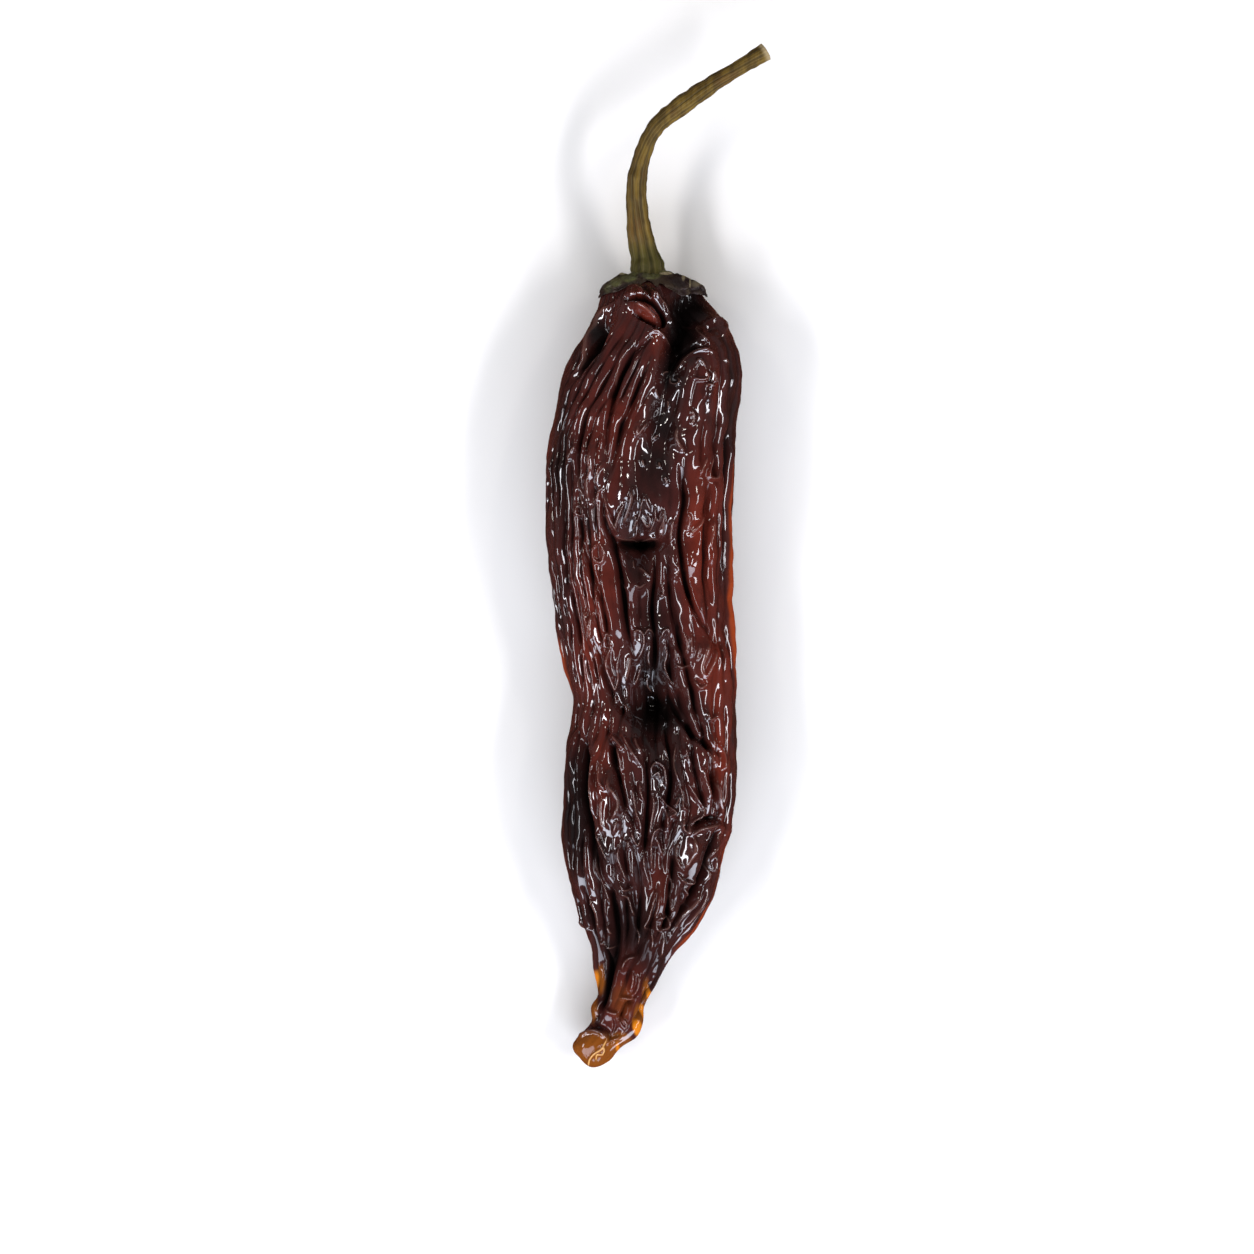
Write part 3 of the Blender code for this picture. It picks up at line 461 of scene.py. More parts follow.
# %% The drawn ridges and creases: the lower half and the tip
LOWER_LINES = (
    (0.5, 0.4, ((69.4, -6.0), (70.6, -4.8), (71.7, -3.9))),
    (0.45, 0.3, ((71.2, -5.1), (73.2, -4.5), (75.0, -4.4))),
    (0.45, 0.3, ((69.2, -4.2), (71.0, -3.3), (72.4, -2.4), (74.0, -1.4))),
    (0.4, 0.35, ((69.6, -2.4), (70.8, -2.0), (72.0, -1.2))),
    (0.45, 0.28, ((72.8, -8.7), (75.4, -8.8), (78.4, -8.6), (82.2, -8.7))),
    (0.4, 0.28, ((73.6, -7.4), (74.7, -7.5), (76.2, -7.4), (77.7, -6.6))),
    (0.55, 0.45, ((75.2, -6.2), (77.0, -6.0), (78.2, -5.1), (79.6, -4.6), (81.4, -5.2), (82.2, -5.8))),
    (0.4, 0.35, ((78.8, -7.0), (81.0, -7.2), (83.7, -7.0))),
    (0.35, 0.3, ((82.2, -4.8), (84.0, -5.4))),
    (0.4, 0.25, ((84.0, -8.2), (85.5, -7.6), (87.0, -6.9), (88.5, -6.3))),
    (0.35, 0.25, ((86.0, -8.7), (88.5, -8.4), (90.4, -8.0), (92.4, -7.0), (94.2, -6.3), (95.7, -6.0))),
    (0.45, 0.28, ((86.0, -4.6), (87.2, -4.8), (89.0, -4.4), (90.4, -3.8), (91.5, -3.3))),
    (0.4, 0.25, ((91.5, -4.5), (92.6, -3.9), (92.7, -2.8))),
    (0.35, 0.25, ((93.0, -4.5), (93.9, -3.4), (95.4, -2.8), (96.9, -2.2))),
    (0.45, 0.25, ((83.8, -2.8), (85.2, -2.4), (86.0, -1.8), (84.9, -1.4))),
    (0.45, 0.35, ((85.2, -3.4), (86.4, -3.2))),
    (0.35, 0.25, ((77.0, -2.8), (78.9, -2.4), (81.0, -2.1), (83.0, -1.4), (84.6, -1.4))),
    (0.4, 0.25, ((76.6, -1.6), (78.0, -1.4), (79.4, -0.9))),
    (0.4, 0.28, ((78.2, 0.4), (80.0, 0.6), (81.9, 0.3), (83.7, 0.0), (84.9, -0.3))),
    (0.4, 0.25, ((87.2, -0.9), (89.0, -0.9), (90.9, -0.4), (92.4, 0.0))),
    (0.5, 0.28, ((90.0, 0.3), (87.4, 0.2), (85.2, 0.3), (83.8, 0.8), (83.5, 1.5), (84.2, 2.1))),
    (0.4, 0.3, ((84.9, 0.9), (86.4, 1.5), (88.0, 2.1))),
    (0.4, 0.25, ((80.0, 2.2), (81.9, 2.7), (83.7, 2.7))),
    (0.45, 0.3, ((75.6, 0.2), (74.4, 0.2), (73.5, 0.9), (74.1, 2.0), (75.9, 2.4), (77.7, 2.7))),
    (0.4, 0.3, ((75.6, 0.6), (75.0, 1.2), (76.2, 1.6))),
    (0.4, 0.25, ((78.6, 1.5), (80.1, 2.7), (81.2, 4.0), (81.9, 3.0))),
    (0.35, 0.25, ((78.6, 4.6), (80.4, 3.8))),
    (0.4, 0.25, ((77.0, 4.5), (78.8, 5.0), (80.4, 5.1), (80.8, 5.7))),
    (0.35, 0.25, ((70.8, 4.0), (71.8, 3.8), (73.5, 3.6), (75.4, 3.9), (76.6, 4.4))),
    (0.35, 0.25, ((71.0, 2.2), (73.0, 2.9), (74.6, 3.0))),
    (0.45, 0.27, ((77.0, 6.0), (78.9, 7.0), (81.0, 8.1), (81.8, 7.5), (82.2, 6.6), (83.7, 6.0))),
    (0.4, 0.27, ((82.0, 5.2), (83.4, 5.0), (84.0, 5.6), (82.8, 5.8))),
    (0.45, 0.3, ((71.2, 5.4), (72.4, 5.6), (74.0, 6.4))),
    (0.4, 0.28, ((71.4, 8.6), (72.8, 9.3), (74.0, 9.8))),
    (0.35, 0.25, ((71.0, 10.5), (72.4, 11.0), (74.4, 11.1), (72.8, 11.8))),
    (0.4, 0.28, ((74.4, 8.0), (76.0, 8.2), (77.2, 8.6), (79.0, 8.8))),
    (0.4, 0.28, ((76.2, 9.8), (77.6, 10.2), (79.6, 10.6), (81.4, 11.2))),
    (0.55, 0.4, ((84.2, 6.0), (83.4, 7.5), (83.0, 9.3), (82.8, 10.4))),
    (-0.7, 0.35, ((83.1, 6.3), (82.3, 8.0), (82.0, 9.6), (82.3, 10.8))),
    (0.5, 0.6, ((84.4, 6.4), (86.7, 6.3), (88.5, 5.4), (89.4, 5.0))),
    (0.4, 0.3, ((85.4, 4.4), (86.6, 4.0), (88.2, 4.0), (89.6, 4.8))),
    (0.4, 0.25, ((84.9, 9.3), (86.7, 8.4), (88.5, 8.2), (90.2, 8.8), (92.0, 8.1))),
    (0.4, 0.25, ((85.6, 10.2), (87.0, 9.2), (88.5, 8.8), (89.7, 9.2))),
    (0.35, 0.25, ((87.6, 10.0), (89.0, 9.6), (90.2, 9.6))),
    (0.35, 0.28, ((90.4, 4.2), (91.4, 5.2), (91.6, 6.6), (91.0, 7.6))),
    (0.5, 0.35, ((92.7, 8.0), (94.6, 6.8), (96.3, 5.4), (98.0, 4.2), (99.4, 3.3))),
    (0.35, 0.3, ((92.0, 9.0), (94.2, 8.1), (96.4, 6.6), (98.4, 5.1))),
    (0.4, 0.3, ((92.4, 5.2), (94.0, 5.8), (95.6, 5.2))),
    (0.4, 0.25, ((90.2, 3.0), (92.0, 3.3), (93.8, 3.0), (95.6, 3.2), (94.6, 3.6))),
    (0.4, 0.28, ((93.2, 0.8), (95.0, 0.3), (96.9, -0.3), (98.2, -0.8), (98.7, 0.0))),
    (0.35, 0.25, ((93.2, 1.4), (95.0, 1.1), (96.6, 0.6))),
    (0.5, 0.3, ((96.9, 0.9), (96.4, 1.8), (97.0, 2.7), (98.1, 2.7), (98.6, 1.8), (98.1, 0.9),
                (97.1, 0.8))),
    (0.4, 0.25, ((93.8, -9.0), (95.0, -8.4), (96.4, -7.8), (98.4, -7.5))),
    (0.35, 0.25, ((96.9, -10.2), (98.0, -9.6), (98.7, -8.8))),
    (0.35, 0.25, ((98.0, -6.4), (99.4, -5.8))),
    (0.3, 0.25, ((100.2, -7.5), (101.2, -6.3), (101.7, -5.2))),
    (0.35, 0.25, ((98.6, -2.0), (100.0, -1.6), (101.4, -1.8))),
    (0.35, 0.25, ((99.0, 0.2), (100.4, 0.4), (101.6, 0.2))),
    (0.35, 0.28, ((99.8, 2.2), (101.2, 1.8), (102.6, 1.6))),
    (0.4, 0.28, ((104.7, -4.2), (103.5, -3.9), (102.8, -2.8), (102.9, -2.0))),
    (0.35, 0.28, ((105.0, -2.6), (106.5, -2.6), (107.7, -3.0))),
    (0.35, 0.28, ((105.4, -1.6), (107.0, -1.8), (108.4, -2.6))),
    (0.3, 0.28, ((108.8, -4.5), (108.9, -3.4), (109.0, -2.2))),
    (-0.9, 0.4, ((101.0, -6.8), (105.5, -6.2), (109.2, -6.9), (111.5, -7.6))),
    (-0.5, 0.3, ((109.2, -2.7), (109.7, -3.6), (111.2, -4.2), (111.9, -4.6))),
    (-0.5, 0.35, ((105.6, 0.6), (107.0, 0.0), (109.2, -0.9), (111.0, -1.5), (113.0, -3.0))),
    (0.3, 0.3, ((110.6, -6.6), (111.0, -5.8), (111.2, -4.8))),
    (0.3, 0.2, ((112.0, -4.6), (112.8, -4.4), (113.4, -3.7), (112.6, -3.6), (112.0, -4.2))),
    (0.4, 0.3, ((115.0, -10.8), (114.2, -9.8), (113.8, -8.6), (113.9, -7.6), (114.6, -6.9))),
    (-0.6, 0.3, ((114.2, -10.6), (113.4, -9.2), (113.2, -7.8), (114.0, -6.4), (115.4, -5.8))),
    (0.35, 0.2, ((115.6, -6.3), (115.0, -5.4), (114.6, -4.4))),
    (-0.3, 0.25, ((114.4, -5.6), (113.0, -5.2), (111.6, -5.5))),
)
SEAM_LINES = (
    (0.3, 0.24, ((114.9, -6.4), (115.6, -6.8), (116.6, -7.5), (117.0, -8.2), (117.8, -8.9),
                 (119.4, -9.3))),
    (0.25, 0.22, ((115.8, -7.2), (116.4, -6.9), (117.3, -7.3), (117.2, -7.9), (118.4, -8.1))),
)
print(len(LOWER_LINES), "lines on the lower half, and", len(SEAM_LINES), "for the seam")

# %% [markdown]
# To raise a line, every point of the skin near it has to know how far off it is and how far along
# it lies. One loop over the line's short runs finds both in numpy, and it leaves out the points
# that are out of reach, so it stays quick for so many lines. The lines fade at both ends, and are
# drawn a little stronger on the lower half, where the folds are sharp.

# %% How a line is raised
LINE_STRENGTHS = ((SHOULDER_LINES, 1.2), (UPPER_LINES, 1.2), (LOWER_LINES, 1.5))
LINE_END_HEIGHT, LINE_END = 0.35, 0.2
CREST_SHARE, NEARBY = 0.5, 2.2


def smooth_path(points, step=0.4):
    corner = np.asarray(points, float)
    reach = np.concatenate([[0], np.cumsum(np.linalg.norm(np.diff(corner, axis=0), axis=1))])
    at = np.linspace(0, reach[-1], max(3, int(reach[-1] / step)))
    return np.stack([smooth_through(reach, corner[:, k], at) for k in range(2)], axis=-1)


def drawn_line(seen, height, half_width, points):
    """The points near a line, its height there, and how near they are to it and to its crest."""
    path = smooth_path(points)
    margin = 3 * half_width
    near = np.all((seen > path.min(0) - margin) & (seen < path.max(0) + margin), axis=-1)
    spot = seen[near]
    nearest, place = np.full(len(spot), np.inf), np.zeros(len(spot))
    for i in range(len(path) - 1):
        run = path[i + 1] - path[i]
        share = np.clip(((spot - path[i]) @ run) / max(run @ run, 1e-9), 0, 1)
        distance = np.linalg.norm(spot - path[i] - share[:, None] * run, axis=1)
        closer = distance < nearest
        nearest = np.where(closer, distance, nearest)
        place = np.where(closer, (i + share) / (len(path) - 1), place)
    ends = (1 - LINE_END_HEIGHT) * fade(0, LINE_END, place) * fade(1, 1 - LINE_END, place)
    ends = LINE_END_HEIGHT + ends
    crest = ends * bell(nearest, CREST_SHARE * half_width) * (height > 0)
    height = height * ends * bell(nearest, half_width)
    return near, height, bell(nearest, NEARBY * half_width), crest


def drawn_relief(seen, lines):
    """The lines' height at each point, how near one is, and how near the crest of a ridge."""
    relief, presence, crest = np.zeros((3, *seen.shape[:2]))
    for line in lines:
        near, height, nearness, on_crest = drawn_line(seen, *line)
        relief[near] += height
        presence[near] = np.maximum(presence[near], nearness)
        crest[near] = np.maximum(crest[near], on_crest)
    return relief, presence, crest


DRAWN_LINES = [
    (strength * height, half_width, points)
    for lines, strength in LINE_STRENGTHS
    for height, half_width, points in lines
]
print(len(DRAWN_LINES), "drawn lines")

# %% [markdown]
# Between the drawn lines and all over the back, the skin has crumpled into small ridges about two
# millimetres apart, straight on the sides and mazy near the tip. A noise texture would give blobs,
# not ridges. Drying skin buckles at one width, so the same is done here: seeded noise is filtered
# to the wanted width and direction, pressed towards two levels, and filtered again, over and over,
# until it has settled into ridges and creases. The fast Fourier transform makes each round cheap.
# The long creases push the pattern down in every round, so the small ridges line up beside them.

# %% The small wrinkles
PATTERN_ROWS, PATTERN_COLUMNS, PATTERN_LENGTH = 720, 512, 126.0
WRINKLE_ROUNDS, RIDGE_SHARE, STEEPNESS, WAVE_SIZE = 40, 0.15, 1.6, 1.4
UPPER_FACE = (-0.15, 0.35)
pattern_along, pattern_turn = np.meshgrid(
    np.arange(PATTERN_ROWS) * PATTERN_LENGTH / PATTERN_ROWS,
    np.arange(PATTERN_COLUMNS) / PATTERN_COLUMNS,
    indexing="ij",
)
pattern_place = plain_pod(np.clip(pattern_along, POD_TOP + 1, POD_TIP - 1), pattern_turn)
pattern_across = pattern_place[..., 1]
pattern_above = fade(*UPPER_FACE, np.sin(section_angle(pattern_turn)))


def cycles_per_mm(girth):
    along = np.fft.fftfreq(PATTERN_ROWS, PATTERN_LENGTH / PATTERN_ROWS)[:, None]
    return along, np.fft.fftfreq(PATTERN_COLUMNS, girth / PATTERN_COLUMNS)[None, :]


def ridge_filter(girth, spacing, spread, lean=0.0, sharpness=0.42):
    """Passes ridges of one spacing, in millimetres, that lean so many degrees from along."""
    along, round_it = cycles_per_mm(girth)
    tilt = np.degrees(np.arctan2(along, round_it)) - lean
    tilt = np.mod(tilt + 90, 180) - 90
    return bell(np.hypot(along, round_it) * spacing - 1, sharpness) * bell(tilt, spread)


def soft_lumps(seed, spacing):
    """A smooth, seeded unevenness of about one millimetre, whose lumps are so far apart."""
    rng = np.random.default_rng(seed)
    along, round_it = cycles_per_mm(GIRTH)
    spectrum = np.fft.fft2(rng.standard_normal(pattern_along.shape))
    lumps = np.fft.ifft2(spectrum * bell(np.hypot(along, round_it) * spacing, 1.0)).real
    return lumps / lumps.std()


def settle_ridges(seed, zones, push):
    """zones: (weight field, filter). Returns a wave of -1 in the creases and 1 on the ridges."""
    rng = np.random.default_rng(seed)
    field = rng.standard_normal(pattern_along.shape)
    weight_sum = sum(weight for weight, _ in zones)
    for _ in range(WRINKLE_ROUNDS):
        spectrum = np.fft.fft2(field)
        mixed = 0.0
        for weight, passed in zones:
            ridges = np.fft.ifft2(spectrum * passed).real
            mixed = mixed + weight * ridges / (ridges.std() + 1e-9)
        mixed = mixed / weight_sum - push + RIDGE_SHARE
        field = np.tanh(STEEPNESS * mixed)
    return (mixed - mixed.mean()) / (WAVE_SIZE * mixed.std())


print("pattern of", PATTERN_ROWS, "by", PATTERN_COLUMNS, "points")

# %% [markdown]
# The wrinkles aren't the same all over. The shoulder's fan out from the calyx, the left side is
# finely pleated and the right side broadly, and the lower half is mazy. So the pod is divided into
# soft zones, each with a ridge filter for the girth there, the spacing and how far the ridges may
# stray from along the pod. The drawn lines push the pattern too, so the two don't cross.

# %% Where each kind of wrinkle grows
CREASE_PUSH, FOLD_PUSH, LINE_PUSH, LINE_PUSH_LIMIT = 1.1, 0.9, 1.6, 0.8
crease_push = sum(crease_depth(pattern_along, pattern_across, *crease) for crease in CREASES)
crease_push = CREASE_PUSH * crease_push * pattern_above
crease_push += FOLD_PUSH * fold_depth(pattern_along, pattern_turn) * (1 - 0.5 * pattern_above)
pattern_seen = np.stack(as_photographed(pattern_place), axis=-1)
line_push = drawn_relief(pattern_seen, DRAWN_LINES)[0]
line_push = np.clip(line_push, -LINE_PUSH_LIMIT, LINE_PUSH_LIMIT)
crease_push -= LINE_PUSH * line_push * pattern_above

left_side, right_side = fade(-5.0, -8.0, pattern_across), fade(4.5, 7.0, pattern_across)
on_shoulder = fade(30, 16, pattern_along)
on_tip = fade(98, 106, pattern_along)
on_taper = fade(88, 96, pattern_along) * (1 - on_tip)
mazy = fade(58, 68, pattern_along) * (1 - on_tip) * (1 - on_taper) * (0.35 + 0.65 * pattern_above)
on_belly = (1 - on_shoulder) * (1 - mazy) * (1 - on_tip) * (1 - on_taper)
pleated, broad = on_belly * left_side, on_belly * right_side
fanned = on_shoulder * fade(2.0, -1.0, pattern_across) * pattern_above
wrinkles = settle_ridges(
    7,
    [
        (on_shoulder - fanned, ridge_filter(66.0, 1.8, 30)),
        (fanned, ridge_filter(66.0, 1.6, 24, lean=-16)),
        (on_belly - pleated - broad, ridge_filter(72.0, 2.2, 32)),
        (pleated, ridge_filter(72.0, 1.3, 20)),
        (broad, ridge_filter(72.0, 2.8, 26)),
        (mazy, ridge_filter(70.0, 1.9, 44)),
        (on_taper, ridge_filter(44.0, 1.8, 40)),
        (on_tip, ridge_filter(24.0, 2.4, 50)),
    ],
    crease_push,
)
beads, lumps, swells = soft_lumps(11, 1.7), soft_lumps(5, 4.5), soft_lumps(6, 11.0)
calmness = soft_lumps(31, 5.0)
print("ridges cover", round(float((wrinkles > 0).mean()), 2), "of the skin")

# %% [markdown]
# The skin is one grid of points, finer on the upper face, where the eye rests, and at the two
# ends, where it curves most. An even grid, or a subdivided one, would need many more points to
# show the same wrinkles. Even so it is too much for one mesh, and is laid in four lengths that
# share their rings.

# %% The skin's grid
SKIN_LENGTHS = (POD_TOP, 31.0, 61.0, 91.0, POD_TIP)
ROWS_A_LENGTH, SKIN_COLUMNS = 240, 404
END_SHARE, LIT_FACE = 5e-4, (-0.7, -0.1)


def spread_evenly(at, density, shares):
    reach = np.concatenate([[0], np.cumsum((density[1:] + density[:-1]) / 2)])
    return np.interp(shares, reach / reach[-1], at)


def skin_rows():
    """Places along the pod. The first and the last stop just short of the middle points."""
    rows = []
    for start, stop in zip(SKIN_LENGTHS, SKIN_LENGTHS[1:]):
        at = np.linspace(start, stop, 3000)
        density = 1 + 2.0 * bell(at - POD_TOP, 1.5) + 2.5 * bell(at - POD_TIP, 1.0)
        shares = np.linspace(0, 1, ROWS_A_LENGTH)
        if start == POD_TOP:
            shares[0] = END_SHARE
        if stop == POD_TIP:
            shares[-1] = 1 - END_SHARE
        rows.append(spread_evenly(at, density, shares)[1 if rows else 0:])
    return np.concatenate(rows)


def skin_turns():
    at = np.linspace(0, 1, 4000)
    density = 1.0 + 1.3 * fade(-0.3, 0.3, np.sin(math.tau * at))
    return spread_evenly(at, density, np.arange(SKIN_COLUMNS) / SKIN_COLUMNS)


along, turn = np.meshgrid(skin_rows(), skin_turns(), indexing="ij")
plain = plain_pod(along, turn)
facing_up = np.sin(section_angle(turn))
above, lit = fade(*UPPER_FACE, facing_up), fade(*LIT_FACE, facing_up)
seen_along, seen_across = as_photographed(plain)
seen = np.stack([seen_along, seen_across], axis=-1)
print("skin grid", along.shape)

# %% [markdown]
# On this grid the large forms are added up: mounds, valley, creases, folds and edges. The drawn
# lines are kept apart, since they go on last and nothing softens them. Each of these arrays has
# one height for every point, so the sums read like sums of single numbers.

# %% The large forms and the lines on the grid
valley = valley_depth(seen_along, seen_across)
long_creases = sum(crease_depth(seen_along, seen_across, *crease) for crease in CREASES)
folds = fold_depth(along, turn) * (1 - (1 - FOLD_SHARE_ABOVE) * above)
large_relief = (mound_height(seen_along, seen_across) - valley - long_creases) * above
large_relief = large_relief - folds + edge_height(along, turn)
drawn, drawn_here, crest = drawn_relief(seen, DRAWN_LINES)
seam, _, seam_here = drawn_relief(seen, SEAM_LINES)
print("large forms from", large_relief.min().round(1), "to", large_relief.max().round(1), "mm")

# %% [markdown]
# How high the small wrinkles stand changes along the pod and from side to side. It could be a
# painted weight map, but a short table of heights does it: along, then left, middle and right.
# The wrinkles are calmer next to a drawn line, on the pressed edges and over whole patches here
# and there. Tiny beads roughen them, and lumps and swells keep the skin between them uneven.

# %% The small wrinkles on the grid
WRINKLE_HEIGHTS = (
    (0.0, 0.10, 0.08, 0.12), (11.0, 0.20, 0.12, 0.22), (16.0, 0.36, 0.24, 0.34),
    (28.0, 0.38, 0.20, 0.30), (36.0, 0.30, 0.10, 0.28), (41.0, 0.28, 0.14, 0.26),
    (48.0, 0.28, 0.24, 0.28), (55.0, 0.30, 0.32, 0.28), (66.0, 0.45, 0.42, 0.38),
    (74.0, 0.62, 0.62, 0.55), (90.0, 0.62, 0.66, 0.58),
    (100.0, 0.50, 0.52, 0.50), (106.0, 0.26, 0.26, 0.26), (112.0, 0.08, 0.08, 0.08),
    (120.0, 0.05, 0.05, 0.05),
)
BACK_WRINKLES = 0.5
WRINKLE_MIDDLE, WRINKLE_SIDE = 4.5, 8.0
BEAD_HEIGHT, BEADS_END = 0.025, (113, 106)
LUMP_HEIGHTS, SWELL_HEIGHTS = (0.04, 0.12), (0.06, 0.12)
PRESSED_EDGES, EDGE_BAND, EDGE_CALM, LINE_CALM = (0.0, 0.5), 0.05, 0.5, 0.3


def sample_pattern(field):
    """Reads a field of the pattern at every point of the skin's grid."""
    row = np.clip(along / PATTERN_LENGTH * PATTERN_ROWS, 0, PATTERN_ROWS - 2)
    column = np.mod(turn, 1.0) * PATTERN_COLUMNS
    i, j = row.astype(int), column.astype(int) % PATTERN_COLUMNS
    a, b, k = row - i, column - np.floor(column), (j + 1) % PATTERN_COLUMNS
    upper = field[i, j] * (1 - b) + field[i, k] * b
    return upper * (1 - a) + (field[i + 1, j] * (1 - b) + field[i + 1, k] * b) * a


def ridge_profile(field):
    """Broad, softly crowned ridges with narrow creases between them, about one high."""
    return 0.14 * np.clip(field, -1, 1) - np.exp(-np.clip(1.05 + field, 0, 9) / 0.34)


def wrinkle_height():
    left, middle, right = (column_of(WRINKLE_HEIGHTS, k, seen_along) for k in (1, 2, 3))
    centre = fade(-WRINKLE_SIDE, -WRINKLE_MIDDLE, seen_across)
    centre = centre * fade(WRINKLE_SIDE, WRINKLE_MIDDLE, seen_across)
    face = centre * middle + (1 - centre) * np.where(seen_across < 0, left, right)
    return BACK_WRINKLES + (face - BACK_WRINKLES) * above


def uneven(field, heights):
    """heights: on the underside, and what the upper face adds to it."""
    return (heights[0] + heights[1] * above) * sample_pattern(field)


calm = 1 - LINE_CALM * drawn_here * above
by_an_edge = 1 - EDGE_CALM * sum(bell(turn_away(turn, at), EDGE_BAND) for at in PRESSED_EDGES)
high = wrinkle_height() * by_an_edge
high = high * (0.45 + 0.85 * fade(-1.0, 0.9, sample_pattern(calmness)))
profile = ridge_profile(sample_pattern(wrinkles))
small = high * profile + BEAD_HEIGHT * sample_pattern(beads) * fade(*BEADS_END, along)
small = small * calm + uneven(lumps, LUMP_HEIGHTS)
print("small wrinkles up to", high.max().round(2), "mm high")

# %% [markdown]
# Now every point of the grid is moved along the plain pod's normal by the sum of it all. The
# relief is weaker on the neck and the tip, and dies out at both ends. A displace modifier would do
# the same from a texture, but these sums are the texture. Last, whatever would go through the
# table is pressed flat on it, as the pod's own weight does.

# %% The skin's points
NECK_CALM, TIP_CALM = (0.45, 100, 108), (0.25, 110, 113)
RELIEF_START, RELIEF_END = (1.4, 4.2), 2


def surface_normal(points):
    down = np.gradient(points, axis=0)
    sideways = np.roll(points, -1, axis=1) - np.roll(points, 1, axis=1)
    normal = np.cross(sideways, down)
    return normal / np.maximum(np.linalg.norm(normal, axis=2, keepdims=True), 1e-9)


def calmed(share, start, stop):
    return share * fade(start, stop, along)


relief = large_relief + small + uneven(swells, SWELL_HEIGHTS)
relief = relief * (1 - calmed(*NECK_CALM) - calmed(*TIP_CALM)) + (drawn + seam) * above
relief = relief * fade(*RELIEF_START, along) * fade(POD_TIP, POD_TIP - RELIEF_END, along)
skin_points = plain + surface_normal(plain) * relief[..., None]
skin_points[..., 2] = np.maximum(skin_points[..., 2], 0.0)
print("the skin stands", skin_points[..., 2].max().round(2), "mm high")

# %% [markdown]
# A dried skin is glossy on its ridges and looks dull in its creases, which trap the light. Each
# place that differs gets a look: one number for every point, from 0 to 1, which the finish reads
# later. Painting them by hand would also do, but here the creases are already known. What can't
# be worked out is placed in soft ovals: along, across, half length, half width and strength. The
# dull ones are the pits beside the calyx and in the middle. The satin ones have less gloss, and
# keep it on the crests of the drawn lines.

# %% Where the skin is dull and shaded, satin or crested
# The pits here lose their gloss and are darkened as painted shade.
DULL_SHADED_PITS = (
    (4.6, 6.6, 2.6, 3.4, 0.9), (8.6, 5.4, 3.6, 2.3, 0.9), (65.6, 1.2, 1.9, 3.4, 0.8),
)
SATIN_PATCHES = (
    (82.0, -11.5, 12.0, 2.2, 0.6), (100.5, -3.0, 7.5, 6.0, 1.0), (108.0, -4.5, 5.5, 4.5, 0.95),
    (117.0, -8.5, 3.0, 4.0, 0.7), (20.0, -12.5, 16.0, 1.8, 0.4), (18.0, -6.5, 10.0, 5.0, 0.5),
    (33.0, 8.5, 12.0, 3.4, 0.6), (52.0, 8.0, 14.0, 5.0, 0.6), (48.0, -3.0, 8.0, 5.0, 0.6),
    (92.0, 1.0, 6.0, 9.0, 0.45),
)


def patch_share(seen, patches):
    """Soft ovals: along, across, half length, half width and strength."""
    share = np.zeros(seen.shape[:2])
    for at, side, half_length, half_width, strength in patches:
        away = ((seen[..., 0] - at) / half_length) ** 2 + ((seen[..., 1] - side) / half_width) ** 2
        share = np.maximum(share, strength * np.exp(-(away**1.5)))
    return share


HOLLOW_DEPTH, CUT_DEPTH, CREASE_END = 1.6, 1.5, (114, 109)
CREASED_SHARE, CREASED_FROM, CREASED_HEIGHT = 0.85, 0.1, 0.24
side_folds = folds * by_an_edge
hollow = np.clip((long_creases * above + side_folds) / HOLLOW_DEPTH, 0, 1)
creased = np.clip(-profile * calm - CREASED_FROM, 0, 1) * np.clip(high / CREASED_HEIGHT, 0, 1)
drawn_cut = np.clip(-drawn * above, 0, CUT_DEPTH) ** 2 / CUT_DEPTH
# The crease look takes the coat off and darkens the colour as painted shade, in the creases, folds and
# pits.
dull_and_shaded = hollow**2 + CREASED_SHARE * creased + drawn_cut + patch_share(seen, DULL_SHADED_PITS) * above
skin_looks = {
    "crease": fade(*CREASE_END, along) * np.clip(dull_and_shaded, 0, 1),
    "satin": patch_share(seen, SATIN_PATCHES) * above * (1 - np.clip(crest, 0, 1)),
    "crest": crest * above,
    "seam": seam_here * above,
}
print({look: round(float(share.mean()), 2) for look, share in skin_looks.items()})

# %% [markdown]
# The colour follows the flesh. The black ovals are partly skin dried dark over dark flesh and
# partly painted shade, in the valley, the pits and the crescent under the lip. Where the skin stands
# alone it is red. Where light comes through, at the pressed edges and the tip, a painted glow of
# that light makes it amber and gold; the gold is partly the tip's own colour. These are soft ovals
# again. The thin rims along the two edges carry a painted glow of light coming through, and are
# bands: where round the pod, start, stop and strength.

# %% Where the skin is black and shaded, red, gold, and where it glows amber
# Black skin, partly painted shade in the valley, the pits and the crescent under the lip.
BLACK_AND_SHADE_PATCHES = (
    (4.6, 6.4, 3.0, 4.0, 1.0), (8.6, 5.2, 5.0, 3.0, 1.0), (15.0, 3.4, 6.0, 2.2, 0.9),
    (22.0, 2.0, 6.0, 2.4, 0.85), (29.0, 0.6, 6.0, 2.8, 0.7),
    (36.0, -1.5, 6.0, 3.2, 0.6), (44.0, -1.2, 4.0, 3.0, 0.55), (52.0, 0.6, 6.0, 2.4, 0.7),
    (41.4, -1.6, 1.0, 3.0, 1.0),
    (61.0, 0.3, 6.0, 3.6, 0.85), (66.5, 1.0, 3.5, 4.4, 1.0), (75.0, 2.2, 7.0, 3.4, 0.6),
    (82.0, -11.5, 11.0, 2.4, 0.9), (95.0, -5.0, 6.0, 3.6, 0.5), (102.0, -6.0, 3.6, 1.8, 0.8),
    (27.0, -13.2, 13.0, 1.4, 0.6), (10.0, -8.0, 4.5, 1.2, 0.9), (17.0, 12.2, 8.0, 1.0, 0.5),
    (99.0, -2.0, 7.0, 6.5, 0.8), (88.0, -2.0, 8.0, 8.0, 0.4), (107.0, -6.6, 4.0, 1.2, 0.9),
    (103.5, 1.8, 3.5, 1.6, 0.7), (102.0, -3.0, 4.5, 5.0, 0.6), (92.0, 1.0, 8.0, 8.0, 0.4),
)
